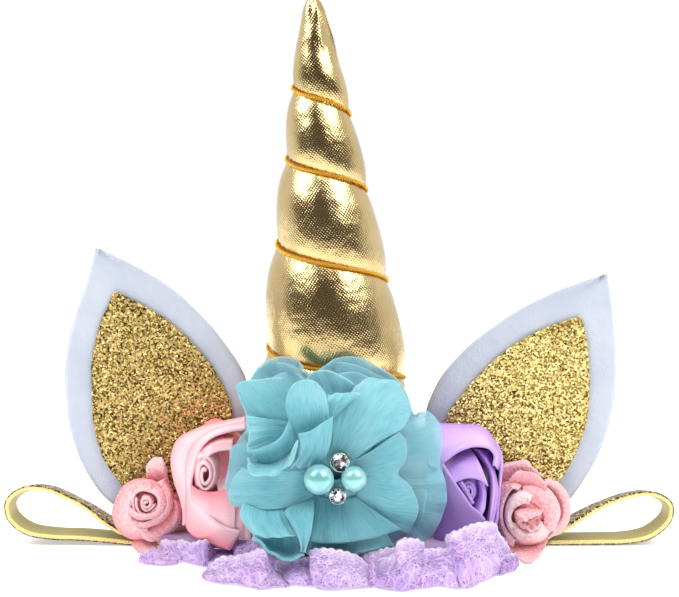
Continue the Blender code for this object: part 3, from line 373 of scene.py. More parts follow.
# Small rose on the left
LEFT_PETALS = {
    "upright": (
        (6, -59.8, 20.1, -58.9, 20.1, -57, 19.8, -54.9, 19.3, -51.9, 16.7),
        (8, -59.8, 23.4, -58.5, 24.3, -56.4, 24.6, -54.3, 24.1, -52.9, 21.5),
        (7, -59.6, 25.8, -58.3, 27.7, -56.5, 28.3, -54.8, 27.6, -53.4, 24.8)),
    "outer_right": (
        (8, -51.6, 17, -51, 14.1, -51, 11.6, -52, 9.4, -53.8, 7.5, -56.4, 5.9, -59.2, 4.9),
        (10, -49.8, 17.8, -48.9, 14.6, -48.6, 11.8, -49.4, 9, -51.4, 6.8, -54.2, 5, -57.6, 4.2),
        (8, -49.1, 17.6, -47.7, 14.4, -47.1, 11, -47.6, 7.9, -49.5, 5.3, -52.7, 3.2, -57, 2.2)),
    "outer_left": (
        (5, -59, 21.6, -63.7, 21.1, -67.5, 18.9, -69.7, 15, -70.9, 11.2, -70.3, 6.9, -67.3, 3.3, -63.3, 1.6,
         -59.3, 1.8),
        (11, -58.1, 21.7, -61.6, 21.5, -64.6, 19.4, -66.5, 16.6, -67.5, 12.8, -67.1, 9.2, -64.6, 6.6,
         -61.8, 5.2, -59, 5),
        (14, -57.2, 20.8, -60, 20.6, -62.5, 19.2, -64.2, 16.8, -64.6, 13.6, -64, 11.5, -62.5, 9.3,
         -60.6, 7.5, -58.8, 7.2)),
    "lower": (
        (11, -61.1, 8, -59, 8.1, -56.5, 8.8, -54, 9.9, -52.2, 11.8, -51.2, 14.3, -51.8, 17.1),
        (13.5, -61.1, 7.7, -59.5, 6.8, -57.1, 6.5, -54, 7.4, -51.2, 9.5, -49.7, 12.7, -50.2, 16.8),
        (11.5, -61.7, 6.5, -60.6, 4.5, -58, 3.6, -55, 4.2, -51.5, 6.1, -49, 10, -49, 15.3)),
    "third": (
        ((10, 10, 10, 10, 10, 10, 10, 10, 10, 8), -53.7, 22.8, -51.6, 19.3, -51, 16.2, -51.2, 13.4,
         -52.5, 10.9, -54.8, 8.8, -57.9, 7.4, -61.3, 6.9, -64.4, 8.3, -67.1, 10.6),
        ((14.5, 14.5, 14.5, 14.5, 14.5, 14.5, 14.5, 14.5, 14.5, 11), -54, 23.4, -51.9, 20.4, -51.3, 17.7,
         -51.4, 14.9, -52.5, 12.5, -54.5, 10.7, -57.1, 9.4, -60, 8.8, -62.9, 9.9, -66, 11.8),
        ((15.5, 15.5, 15.5, 15.5, 15.5, 15.5, 15.5, 15.5, 14.8, 12), -54.8, 23, -53, 20.5, -52.3, 18.1,
         -52.1, 15.6, -52.9, 13.6, -54.6, 11.9, -56.8, 10.8, -59.4, 10, -62, 10.4, -65.2, 12)),
    "second": (
        ((12.5, 12.5, 12.5, 12.5, 12.5, 12.5, 12.5, 12.5, 12.5, 10), -55.5, 22.1, -53.4, 19.6, -52.8, 17.2,
         -52.8, 14.7, -53.8, 12.8, -55.7, 11.1, -58.1, 10.1, -60.9, 9.8, -63.6, 11.2, -66.1, 13.4),
        ((16.3, 16.3, 16.3, 16.3, 16.3, 16.3, 16.3, 16.3, 15.8, 11.5), -55.9, 21.8, -53.9, 20.1, -53.2, 18,
         -53.2, 15.6, -54.2, 13.9, -55.7, 12.5, -58, 11.8, -60.6, 11.8, -62.9, 12.9, -65.6, 14.4),
        ((17.2, 17.2, 17.2, 17.2, 17.2, 17.2, 17.2, 17.2, 16.2, 12), -56.7, 20.6, -55, 19.4, -54.1, 17.7,
         -54.2, 15.9, -55.1, 14.3, -56.5, 13.2, -58.3, 12.8, -60.4, 12.8, -62.4, 13.6, -65.2, 14.8)),
    "bottom": (
        (5, -64.7, 1.6, -62.8, 2.1, -60.2, 2.3, -57.4, 1.6),
        (7, -64.6, 0.7, -62.3, 2.2, -59.9, 2.3, -56.9, 1),
        ((13.1, 12.4, 15.4, 17), -62.1, 0.6, -59.8, 0.6, -57.5, 0.6, -55.2, 0.6)),
}
LEFT_BUDS = (
    ((-58.3, 16.7), 18.0, (0.5, 2.2), 1.15, 1.9, 4.0, 0.6, 30.0, 0.8),
    ((-58.7, 16.6), 16.6, (3.2, 4.6), 1.0, 1.2, 4.0, 1.0, 150.0, 1.0))

# Small rose on the right
RIGHT_PETALS = {
    "back_top": (
        (5, 48.3, 16, 51.6, 16, 55, 16, 59, 16, 63.2, 15),
        (8, 48.1, 23.7, 51.1, 24.9, 54.6, 25.6, 58.5, 25.3, 62.2, 22.7),
        (7, 48.4, 24.6, 51, 26.3, 54.7, 27.2, 58.9, 26.7, 62.4, 22.7)),
    "back_right": (
        (5, 63.2, 19, 65.6, 16.6, 67.5, 12.8, 67.1, 8.7, 65.3, 5.2, 63.9, 2.8),
        (9, 63, 21.1, 67.2, 19, 69.3, 14.8, 69.2, 10.5, 66.9, 6.8, 64.7, 3.9),
        (7, 63.8, 21.5, 68.2, 20.2, 71.4, 15.7, 71.4, 10.5, 69.1, 5.7, 64.6, 1.9)),
    "upper": (
        (9, 51.8, 17.5, 53.9, 17.5, 57.1, 17.5, 60.6, 17, 63.8, 15.5),
        (12.5, 51.7, 22.6, 53.8, 24.3, 56.9, 24.7, 60.2, 23.8, 63.4, 20.8),
        (11, 52.2, 22.5, 54.2, 24.6, 57.2, 25, 60.4, 24.2, 63.2, 21.4)),
    "right_big": (
        (15, 55.7, 20.2, 58.5, 16.3, 61.5, 14, 62.2, 10.7, 60.7, 7.7, 58.7, 6.6),
        (13.5, 55.9, 20.8, 60.1, 19.9, 63.3, 16.8, 65, 12.2, 63.9, 8, 60.7, 5),
        (10, 56.2, 19.7, 58.3, 21, 62.4, 20.6, 66.6, 16.7, 67.8, 11.3, 66.8, 6.3)),
    "left_outer": (
        (9, 56.3, 20.7, 53.2, 21.6, 50.5, 21, 48.6, 18.8, 48.2, 15, 48.3, 10.9, 48.8, 7.1, 50.4, 3,
         53.5, 0.6),
        (13, 55.5, 20.9, 52.8, 21.6, 50.4, 20.9, 48.9, 18.5, 48.3, 15.4, 48.4, 12, 48.9, 8.5, 50.4, 5.1,
         53.2, 1.9),
        (15.5, 54.5, 20.7, 52.5, 21.2, 50.9, 20.1, 49.7, 17.9, 49.1, 15.3, 49, 12.5, 49.5, 9.5, 51, 6.7,
         53.5, 4.2)),
    "pale": (
        (12, 59.3, 18.3, 56.8, 19.7, 54.4, 19.5, 52.3, 18.1, 50.9, 15.8, 50.3, 13, 50.5, 9.8, 51.8, 6.7),
        (15.8, 58.4, 18.4, 56.3, 19.7, 54, 19.5, 52.2, 18.1, 51, 16, 50.4, 13.6, 50.6, 10.9, 51.7, 8.2),
        (17.8, 57.8, 18, 55.9, 19, 54.1, 18.8, 52.6, 17.6, 51.5, 15.7, 50.9, 13.7, 51, 11.4, 51.9, 9.2),
        (17.5, 57.6, 16.9, 55.8, 17, 54.1, 16.4, 52.9, 15.3, 52.2, 13.8, 51.8, 12.2, 52.1, 10.7, 52.7, 9.5)),
    "lower_pale": (
        (12, 51.2, 7, 52.7, 4.5, 55.5, 2.6, 58.9, 2.3, 62.3, 3.5, 64.7, 6.4),
        (16, 51.5, 9, 53.1, 6.9, 55.5, 5.2, 58.3, 5, 61, 6.2, 62.8, 8.7),
        (17.7, 52.2, 10.1, 53.6, 8.4, 55.6, 7.2, 57.9, 7, 60.1, 8.1, 61.6, 10.4),
        (17, 52.9, 10.6, 54.1, 9, 55.8, 8.1, 57.8, 7.9, 59.8, 8.9, 61.1, 10.9)),
    "bottom": (
        (11, 50.4, 6.4, 53.5, 3.9, 57.5, 2.6, 61.2, 2.9, 64.6, 5.5),
        ((12, 14, 15.5, 15, 12), 50.3, 3.5, 53.1, 1.6, 56.6, 1.1, 60.3, 1.4, 63.8, 2.9),
        ((9.7, 17.7, 23.1, 23.8, 17.7), 52.3, 0.6, 53.3, 0.6, 55, 0.6, 57.4, 0.6, 60.6, 0.6)),
    "bud_left": (
        (15.5, 53.1, 13.9, 53.2, 11.7, 54, 9.4, 55.3, 8.3, 57.4, 7.8),
        (18.5, 53.6, 14.4, 53.7, 12.5, 54.4, 10.8, 55.4, 9.9, 57.1, 9.4),
        (18.2, 54.5, 13, 54.7, 11.8, 55.2, 11, 55.9, 10.4, 57.3, 10)),
    "bud_top": (
        (16, 53.1, 14, 54.8, 14.8, 57.2, 14.9, 59.7, 14.5, 62.1, 14.2),
        (19, 53.2, 13.9, 54.7, 14.5, 56.8, 14.6, 58.9, 14.6, 61, 14.6),
        (20.3, 53.6, 13, 55.1, 13.3, 56.6, 13.6, 58.4, 14.1, 60.5, 14.7),
        (19.3, 54.7, 11.8, 55.9, 12, 57.1, 12.4, 58.7, 13.2, 60.7, 14.3)),
    "bud_low": (
        (17.2, 55.3, 10.9, 56.8, 11.4, 58.3, 11.9, 60.1, 12.9),
        (16.8, 55.7, 9.6, 57.2, 9.9, 58.7, 10.4, 60.5, 11.7),
        (18, 56.7, 8.7, 58.2, 8.8, 59.4, 9.4, 60.8, 11.5)),
}

# Painted highlight: the share of its own colour that each of the roses' palest petals keeps, the rest turned
# whitish where it catches the light.
ROSE_PAINTED_HIGHLIGHTS = {"upright": 0.6, "back_top": 0.7, "upper": 0.7, "pale": 0.25, "lower_pale": 0.35, "lower": 0.85}

# The lace runs from its sewn edge out over the table, where it folds, and up to its scalloped rim.
# Each lobe: how far its rim stands behind its fold, how far it bulges, and its columns from left to right.
# Each column: the fold's forward and x, and the rim's x and z.
LACE_ROOT = 19.0
LACE_FOLD = 0.6
LACE_LOBES = {
    "left": (2.5, 1.2, ((14.8, -54.9, -55.6, 2.2), (18.4, -51.93, -53.1, 4.5), (20.4, -49.3, -50.4, 5.4),
        (22, -46.68, -47.4, 5.3), (25.1, -43.91, -44.7, 5.8), (27.2, -41.3, -41.8, 7.11),
        (27.2, -39.22, -39.4, 6.6), (24.9, -37.7, -37.3, 3.9), (21, -35.9, -35.3, 0.89))),
    "left_end": (3.0, 0.6, ((22.9, -60, -60.8, 0.2), (24.9, -57.3, -57.8, 1.4), (26.1, -54.5, -54.9, 2.01),
        (26.5, -51.47, -51.84, 2.01), (25.3, -48.32, -48.7, 0.9))),
    "standing": (6.0, 1.2, ((25.1, -32.6, -31.59, 3.71), (29, -28.73, -30.2, 7.19), (31, -25.1, -26.59, 8.7),
        (31.9, -21.5, -22.7, 7.51), (32.9, -17.91, -19.1, 5.11), (34.2, -14.41, -14.6, 3.19),
        (35.7, -9.7, -10.44, 2.31))),
    "big": (4.0, 1.2, ((38.4, -39.4, -39.59, 0.66), (41.7, -36.2, -37.1, 3.8), (43.5, -33.02, -34.2, 5.7),
        (44.6, -29.8, -30.94, 7.19), (45.9, -26.61, -27.7, 8.29), (47.1, -23.71, -24.2, 9.06),
        (48.2, -21.41, -21.59, 9.61), (47.8, -19.2, -19.79, 7.99), (46.8, -17.29, -18.7, 5.4),
        (46, -15.61, -17.7, 3), (45.7, -13.93, -17.1, 0.71))),
    "middle_back": (6.0, 0.4, ((41.3, -17.51, -17.8, 3.71), (44.6, -14, -14.2, 5.31),
        (45.3, -10.61, -10.7, 6.11), (46, -6.62, -6.7, 6), (46.8, -2.7, -2.7, 5.4))),
    "curl": (4.0, 1.2, ((37.5, -8.32, -9.2, 4.01), (45.2, -7.29, -8.7, 8.2), (48, -5.45, -6.7, 9.91),
        (49, -3.1, -3.7, 10.39), (49, -0.46, -0.5, 10.11), (48.4, 2.19, 2.5, 9.3), (47.5, 4.55, 5.3, 7.7),
        (46.7, 6.62, 7.27, 5.4), (46.4, 8.1, 8.41, 2.6), (46, 9.1, 8.8, 0.3))),
    "right_back": (6.0, 0.4, ((43.3, 6.4, 5, 7), (46, 9.3, 8.8, 8.4), (47.5, 12.2, 12.39, 9.1),
        (48.2, 15.1, 15.3, 10), (49, 19.2, 19.41, 11.8))),
    "right_low": (3.0, 1.2, ((45.2, 9.43, 10.1, 3.8), (47.9, 11.9, 12.6, 6.7), (49.3, 14.5, 14.9, 9.29),
        (50.1, 17.09, 15.8, 11.91), (49.3, 19.5, 17.4, 13.3), (48, 21.88, 19.9, 13.4),
        (46.7, 24.02, 22.5, 12.6), (45.2, 25.9, 23.9, 10.71), (43.7, 27.3, 24.71, 8.2))),
    "right_middle": (4.0, 1.2, ((47.9, 22.656, 23.315, 9.51), (47.1, 24.9, 25.9, 10), (46, 27, 28.41, 9.9),
        (45.6, 29.12, 31, 9.21), (46.7, 30.79, 32.9, 8.1), (47.9, 32.19, 33.8, 5.99),
        (47.5, 33.28, 33.7, 3.09), (46.4, 34, 33.11, 0.54))),
    "right_tall": (5.0, 1.2, ((43, 32, 30, 9.29), (46.4, 33.79, 31.6, 13.1), (47.9, 35.69, 34, 15.1),
        (46.4, 37.91, 36.59, 16), (43, 40.1, 40.1, 15.91), (39.9, 42.2, 43.8, 14.89),
        (37.9, 43.93, 46.6, 12.9), (36, 45.4, 48.31, 9.6), (33.2, 46.83, 49, 5.6),
        (30.3, 48.02, 48.4, 1.5))),
    "right_end": (2.0, 0.5, ((35.6, 45.7, 46.3, 3.2), (34.8, 47.96, 48.2, 4.89), (32, 50.49, 50.7, 4.54),
        (28.3, 53.12, 53.4, 2.54))),
}

# Outline of the flower's lower layer, clockwise from the upper left: x, z.
FLOWER_OUTLINE = (
    (-29.5, 53.4), (-24.8, 58.2), (-19.4, 61.5), (-14.0, 62.2), (-9.0, 58.2), (-6.0, 59.2),
    (-1.3, 61.5), (5.4, 61.9), (12.1, 59.2), (16.1, 55.5), (20.2, 48.7), (23.6, 42.6), (28.3, 42.6),
    (30.0, 35.7), (30.7, 26.8), (29.8, 18.5), (25.8, 10.3), (21.0, 8.9), (16.3, 6.8), (6.8, 4.7),
    (-2.7, 4.7), (-9.5, 5.4), (-14.2, 3.3), (-21.7, 6.1), (-27.8, 10.9), (-31.4, 18.5), (-32.7, 26.1),
    (-31.0, 35.7), (-27.5, 42.6), (-29.2, 48.7))


# Curves and surfaces

def read_curve(table, position):
    """Smooth value between the rows of a {position: value} table."""
    keys = sorted(table)
    position = min(max(position, keys[0]), keys[-1])
    slopes = [(table[b] - table[a]) / (b - a) for a, b in zip(keys, keys[1:])]
    index = 0
    while index < len(slopes) - 1 and position > keys[index + 1]:
        index += 1
    low, high = keys[index], keys[index + 1]

    def tangent(i):
        if i == 0 or i == len(slopes):
            return slopes[min(i, len(slopes) - 1)]
        before, after = slopes[i - 1], slopes[i]
        return 0.0 if before * after <= 0 else 2 * before * after / (before + after)

    width = high - low
    t = (position - low) / width
    bend_low = tangent(index) * width
    bend_high = tangent(index + 1) * width
    return ((2 * t**3 - 3 * t**2 + 1) * table[low] + (t**3 - 2 * t**2 + t) * bend_low
            + (3 * t**2 - 2 * t**3) * table[high] + (t**3 - t**2) * bend_high)


def smoothed(points, per_span):
    """Catmull-Rom through an array of points, along its first axis."""
    points = np.asarray(points, float)
    padded = np.concatenate([2 * points[:1] - points[1:2], points, 2 * points[-1:] - points[-2:-1]])
    result = []
    for p0, p1, p2, p3 in zip(padded, padded[1:], padded[2:], padded[3:]):
        for t in np.arange(per_span) / per_span:
            result.append(0.5 * (2 * p1 + (p2 - p0) * t + (2 * p0 - 5 * p1 + 4 * p2 - p3) * t**2
                                 + (3 * p1 - p0 - 3 * p2 + p3) * t**3))
    return np.array(result + [points[-1]])


def unit(vectors):
    return vectors / np.maximum(np.linalg.norm(vectors, axis=-1, keepdims=True), 1e-9)


def grid_normals(grid):
    """Normals of a grid of points, turned towards the front on the whole."""
    normals = unit(np.cross(np.gradient(grid, axis=0), np.gradient(grid, axis=1)))
    return -normals if normals[..., 1].mean() > 0 else normals


def smooth_grid(points, per_span):
    """Smooth surface through a grid of control points."""
    grid = smoothed(points, per_span)
    return smoothed(grid.swapaxes(0, 1), per_span).swapaxes(0, 1)


def petal_grid(rows, per_span):
    """Smooth surface through a petal's control rows."""
    points = []
    for forward, *row in rows:
        places = list(zip(row[::2], row[1::2]))
        depths = forward if isinstance(forward, tuple) else (forward,) * len(places)
        points.append([(x, -depth, z) for (x, z), depth in zip(places, depths)])
    return smooth_grid(points, per_span)


def circle(sides):
    """That many angles, evenly round a circle."""
    return [math.tau * k / sides for k in range(sides)]


def roll_rim(grid, radius, degrees=200.0, steps=6):
    """Turns the cloth's last row back behind itself, as a folded edge does."""
    along = unit(grid[-1] - grid[-2])
    normals = grid_normals(grid)[-1]
    rolled = []
    for step in range(1, steps + 1):
        angle = math.radians(degrees) * step / steps
        rolled.append(grid[-1] + radius * (math.sin(angle) * along - (1.0 - math.cos(angle)) * normals))
    return np.concatenate([grid, np.array(rolled)])


def crumple(grid, amount, waves, seed):
    """Soft ripples that run from the root and grow towards the rim."""
    random = np.random.default_rng(seed)
    rows, columns = grid.shape[:2]
    v, u = np.meshgrid(np.linspace(0, 1, rows), np.linspace(0, 1, columns), indexing="ij")
    height = np.zeros((rows, columns))
    for _ in range(4):
        count = random.uniform(0.6, 1.5) * waves
        phase = random.uniform(0, math.tau)
        sway = random.uniform(-1.5, 1.5)
        height += np.sin(math.tau * count * u + phase + sway * v * 2.0)
    return grid + grid_normals(grid) * (height * v**1.5 * amount / 2.0)[..., None]


def above_table(grid):
    """The same grid with nothing below the table's clearance."""
    grid[..., 2] = np.maximum(grid[..., 2], CLEARANCE)
    return grid


# Pieces

def object_from(name, mesh, materials, nodes, smooth=True):
    for material in materials:
        mesh.materials.append(material)
    if smooth:
        mesh.shade_smooth()
    obj = bpy.data.objects.new(name, mesh)
    bpy.context.scene.collection.objects.link(obj)
    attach(obj, "root")
    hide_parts(*nodes)
    return obj


def mesh_from(name, points, faces):
    mesh = bpy.data.meshes.new(name)
    mesh.from_pydata((np.asarray(points) * MM).tolist(), [], faces)
    mesh.validate()
    return mesh


def grid_faces(rows, columns, start=0, closed=False):
    faces = []
    for i in range(rows - 1):
        for j in range(columns if closed else columns - 1):
            a, b = start + i * columns + j, start + i * columns + (j + 1) % columns
            faces.append((a, b, b + columns, a + columns))
    return faces


def capped_faces(rows, sides, reverse_first=True):
    """Faces of a closed tube of rings, with a cap on its first and last ring."""
    first = tuple(range(sides))
    faces = grid_faces(rows, sides, closed=True)
    return faces + [first[::-1] if reverse_first else first, tuple(range((rows - 1) * sides, rows * sides))]


def cloth_map(mesh, places):
    """Cloth UV map from each point's place along the cloth, in metres."""
    layer = mesh.uv_layers.new(name="Cloth")
    corners = np.array([loop.vertex_index for loop in mesh.loops])
    layer.data.foreach_set("uv", np.array(places)[corners].ravel())


def point_values(mesh, name, values):
    mesh.attributes.new(name, "FLOAT", "POINT").data.foreach_set("value", np.array(values))


def cloth_mesh(name, grids, painted_light=None):
    """One mesh from several grids, with a Cloth UV map and two values for each point.

    rim is 0 at each grid's root and 1 at its rim; tone is the painted light of each grid: painted shade on
    the flower's petals, a painted highlight on the chiffon roses' palest ones.
    """
    points, faces, places, rims, painted_levels = [], [], [], [], []
    for index, grid in enumerate(grids):
        rows, columns = grid.shape[:2]
        faces += grid_faces(rows, columns, len(points))
        across = np.linalg.norm(np.diff(grid, axis=1), axis=2).sum(axis=1).mean()
        along = np.linalg.norm(np.diff(grid, axis=0), axis=2).sum(axis=0).mean()
        for i in range(rows):
            for j in range(columns):
                points.append(grid[i, j])
                place = across * j / (columns - 1) + GRID_STEP * index
                places.append((place * MM, along * i / (rows - 1) * MM))
                rims.append(i / (rows - 1))
                painted_levels.append(painted_light[index] if painted_light else 1.0)
    mesh = mesh_from(name, points, faces)
    cloth_map(mesh, places)
    point_values(mesh, "rim", rims)
    point_values(mesh, "tone", painted_levels)
    return mesh


def cloth_piece(name, grids, material, thickness, nodes, painted_light=None):
    obj = object_from(name, cloth_mesh(name, grids, painted_light), [material], nodes)
    solid = obj.modifiers.new("Thickness", "SOLIDIFY")
    solid.thickness = thickness * MM
    solid.offset = 0.0
    return obj


# Materials

class Nodes:
    """Short calls for making shader nodes."""

    def __init__(self, tree):
        self.tree = tree

    def set(self, node, values):
        for name, value in values.items():
            if isinstance(value, bpy.types.NodeSocket):
                self.tree.links.new(value, node.inputs[name])
            elif isinstance(value, tuple) and len(value) == 3 and node.inputs[name].type == "RGBA":
                node.inputs[name].default_value = (*value, 1.0)
            else:
                node.inputs[name].default_value = value

    def node(self, kind, values, **properties):
        node = self.tree.nodes.new("ShaderNode" + kind)
        for name, value in properties.items():
            setattr(node, name, value)
        self.set(node, values)
        return node

    def math(self, operation, a, b=0.0):
        node = self.node("Math", {}, operation=operation)
        for socket, value in zip(node.inputs, (a, b)):
            if isinstance(value, bpy.types.NodeSocket):
                self.tree.links.new(value, socket)
            else:
                socket.default_value = value
        return node.outputs[0]

    def mix(self, factor, a, b):
        return self.node("MixRGB", {"Fac": factor, "Color1": a, "Color2": b}).outputs["Color"]

    def smooth_step(self, value, start, end):
        """Goes smoothly from 0 to 1 as the value goes from its start to its end."""
        return self.node("MapRange", {"Value": value, "From Min": start, "From Max": end},
                         interpolation_type="SMOOTHSTEP").outputs["Result"]


class Look(Nodes):
    """A Principled material."""

    def __init__(self, name, sockets):
        self.material = bpy.data.materials.new(name)
        self.material.use_nodes = True
        super().__init__(self.material.node_tree)
        self.shader = self.tree.nodes["Principled BSDF"]
        self.set(self.shader, sockets)
        self.bumped = None

    def place(self, on_cloth=False, scale=(1.0, 1.0, 1.0), degrees=0.0):
        """Where on the piece: the part's own frame, or along the cloth, in metres."""
        if on_cloth:
            source = self.node("UVMap", {}, uv_map="Cloth").outputs["UV"]
        else:
            source = self.node("TexCoord", {}).outputs["Object"]
        turned = self.node("Mapping", {"Vector": source, "Rotation": (0.0, 0.0, math.radians(degrees))})
        return self.node("Mapping", {"Vector": turned.outputs["Vector"], "Scale": scale}).outputs["Vector"]

    def noise(self, where, scale, detail=2.0, rough=0.5):
        return self.node("TexNoise", {"Vector": where, "Scale": scale, "Detail": detail,
                                      "Roughness": rough}).outputs["Fac"]

    def cells(self, where, scale, output="Color", feature="F1"):
        return self.node("TexVoronoi", {"Vector": where, "Scale": scale}, feature=feature).outputs[output]

    def lines(self, where, spacing, distortion=0.0):
        """Soft parallel ridges across x, that many metres apart."""
        values = {"Vector": where, "Scale": WAVE_PERIOD / spacing, "Distortion": distortion, "Detail": 1.0,
                  "Detail Scale": 1.0}
        return self.node("TexWave", values, bands_direction="X").outputs["Fac"]

    def ramp(self, factor, stops):
        """Colour or value read from stops of (position, colour)."""
        node = self.node("ValToRGB", {"Fac": factor})
        while len(node.color_ramp.elements) < len(stops):
            node.color_ramp.elements.new(0.5)
        for element, (position, color) in zip(node.color_ramp.elements, stops):
            element.position = position
            element.color = (*color, 1.0) if isinstance(color, tuple) else (color, color, color, 1.0)
        return node.outputs["Color"]

    def point_value(self, name):
        return self.node("Attribute", {}, attribute_name=name).outputs["Fac"]

    def color(self, socket):
        self.set(self.shader, {"Base Color": socket})

    def bump(self, height, depth):
        """Relief that many metres deep, on top of any relief so far."""
        values = {"Height": height, "Distance": depth}
        if self.bumped:
            values["Normal"] = self.bumped
        self.bumped = self.node("Bump", values).outputs["Normal"]
        self.set(self.shader, {"Normal": self.bumped})

    def glint(self, where, scale, tilt):
        """Turns each small flake its own way."""
        normal = self.node("NewGeometry", {}).outputs["Normal"]
        flake = self.cells(where, scale)
        centred = self.node("VectorMath", {0: flake, 1: (0.5, 0.5, 0.5)}, operation="SUBTRACT").outputs[0]
        turned = self.node("VectorMath", {0: centred, "Scale": tilt}, operation="SCALE").outputs[0]
        added = self.node("VectorMath", {0: normal, 1: turned}, operation="ADD").outputs[0]
        unit_normal = self.node("VectorMath", {0: added}, operation="NORMALIZE").outputs[0]
        self.set(self.shader, {"Normal": unit_normal})
        return flake


def lame_look():
    look = Look("gold_lame", {"Metallic": 1.0, "Roughness": 0.19, "Base Color": (0.83, 0.63, 0.31)})
    first = look.lines(look.place(True, degrees=35.0), 0.00075, 0.6)
    second = look.lines(look.place(True, degrees=-50.0), 0.00075, 0.6)
    weave = look.math("MULTIPLY", first, second)
    patches = look.noise(look.place(), 60.0)
    look.color(look.mix(look.math("MULTIPLY", weave, 0.5), look.ramp(patches, (
        (0.35, (0.54, 0.39, 0.16)), (0.65, (0.65, 0.49, 0.23)))), (0.84, 0.72, 0.45)))
    look.bump(look.noise(look.place(), 110.0, 3.0), 0.0008)
    look.bump(weave, 0.00004)
    return look.material


def cord_look():
    look = Look("gold_cord", {"Metallic": 0.85, "Roughness": 0.34, "Base Color": (0.95, 0.50, 0.05)})
    fibres = look.lines(look.place(True, degrees=20.0), 0.00022, 1.0)
    look.color(look.ramp(fibres, ((0.2, (0.70, 0.34, 0.01)), (0.7, (1.0, 0.66, 0.12)))))
    look.bump(fibres, 0.00005)
    return look.material


def felt_look(name, light, shade):
    look = Look(name, {"Roughness": 0.95, "Sheen Weight": 0.35, "Sheen Roughness": 0.5,
                       "Specular IOR Level": 0.15})
    clouds = look.noise(look.place(), 55.0, 4.0, 0.6)
    fibres = look.noise(look.place(scale=(1.0, 1.0, 0.6)), 1600.0, 4.0, 0.7)
    tone = look.ramp(clouds, ((0.35, shade), (0.65, light)))
    look.color(look.mix(look.math("MULTIPLY", fibres, 0.35), tone, light))
    look.bump(look.noise(look.place(), 240.0, 3.0), 0.0003)
    look.bump(fibres, 0.00022)
    return look.material


def glitter_look(name, dark, middle, bright, scale, metallic=0.75):
    look = Look(name, {"Metallic": metallic, "Roughness": 0.38})
    flake = look.glint(look.place(), scale, 1.1)
    # Each flake takes a colour at random from dark to bright: partly the flakes' own differing tones, partly
    # painted glints at the bright end, on top of each flake's real tilt.
    shade = look.node("SeparateColor", {"Color": flake}).outputs["Red"]
    look.color(look.ramp(shade, ((0.10, dark), (0.42, middle), (0.85, bright))))
    return look.material


def chiffon_look(name, deep, pale, least_alpha):
    look = Look(name, {"Roughness": 0.85, "Sheen Weight": 0.35, "Sheen Roughness": 0.4,
                       "Specular IOR Level": 0.25, "Subsurface Weight": 0.25, "Subsurface Scale": 0.002,
                       "Subsurface Radius": (0.6, 1.0, 1.0)})
    crinkle = look.noise(look.place(True, scale=(3400.0, 260.0, 1.0)), 1.0, 3.0, 0.6)
    folds = look.noise(look.place(True, scale=(420.0, 30.0, 1.0)), 1.0, 2.0)
    rim = look.point_value("rim")
    tone = look.point_value("tone")
    # Painted highlight: the cloth is lightened towards its pale colour at each petal's rim.
    edge = look.ramp(look.math("ADD", rim, look.math("MULTIPLY", crinkle, 0.10)), ((0.45, 0.0), (1.0, 1.0)))
    streaks = look.ramp(crinkle, ((0.35, 0.0), (0.65, 1.0)))
    wash = look.ramp(look.noise(look.place(), 75.0, 2.0), ((0.35, 0.05), (0.68, 0.5)))
    cloth = look.mix(look.math("ADD", look.math("MULTIPLY", streaks, 0.34), wash), deep, pale)
    cloth = look.mix(look.math("MULTIPLY", edge, 0.6), cloth, pale)
    # Painted shade: petals with a tone under 1, and the core that has none, are darkened towards a shadow
    # teal.
    look.color(look.mix(look.math("SUBTRACT", 1.0, tone), cloth, (0.02, 0.16, 0.21)))
    if least_alpha < 1.0:
        sheer = look.ramp(look.math("ADD", rim, look.math("MULTIPLY", crinkle, 0.2)),
                          ((0.30, 0.97), (0.80, least_alpha + 0.12), (1.0, least_alpha)))
        look.set(look.shader, {"Alpha": sheer})
    look.bump(folds, 0.0008)
    look.bump(crinkle, 0.00020)
    return look.material


def satin_look(name, deep, pale):
    look = Look(name, {"Roughness": 0.26, "Sheen Weight": 0.1, "Sheen Roughness": 0.3,
                       "Specular IOR Level": 0.8, "Coat Weight": 0.3, "Coat Roughness": 0.2})
    clouds = look.noise(look.place(True), 60.0, 2.0)
    # Painted shade and highlight: the colour runs from deep at each petal's root, where the petals close in,
    # to pale at its rim.
    rim = look.point_value("rim")
    tone = look.mix(look.ramp(rim, ((0.0, 0.0), (0.62, 1.0))), deep, pale)
    look.color(look.mix(look.math("MULTIPLY", clouds, 0.15), tone, deep))
    look.bump(look.lines(look.place(True, degrees=90.0), 0.0004, 0.8), 0.00003)
    look.bump(clouds, 0.0005)
    return look.material


def fuzzy_look(name, deep, pale):
    look = Look(name, {"Roughness": 0.95, "Sheen Weight": 0.25, "Sheen Roughness": 0.45,
                       "Specular IOR Level": 0.1})
    speckle = look.cells(look.place(True), 1500.0, "Distance")
    fluff = look.noise(look.place(), 1100.0, 4.0, 0.7)
    # Painted shade and highlight: the colour runs from deep at each petal's root, where the petals close in,
    # to pale at its rim.
    rim = look.point_value("rim")
    tone = look.mix(look.ramp(rim, ((0.12, 0.0), (0.80, 1.0))), deep, pale)
    tone = look.mix(look.math("MULTIPLY", look.ramp(speckle, ((0.25, 1.0), (0.6, 0.0))), 0.25), tone, deep)
    layer = look.point_value("tone")
    white = look.math("MULTIPLY", look.ramp(fluff, ((0.46, 0.0), (0.60, 1.0))), 0.5)
    # Painted highlight: a petal whose tone is under 1 is turned whitish.
    white = look.math("MAXIMUM", white, look.math("SUBTRACT", 1.0, layer))
    look.color(look.mix(white, tone, (1.0, 0.84, 0.86)))
    look.bump(speckle, 0.00035)
    look.bump(fluff, 0.0004)
    return look.material


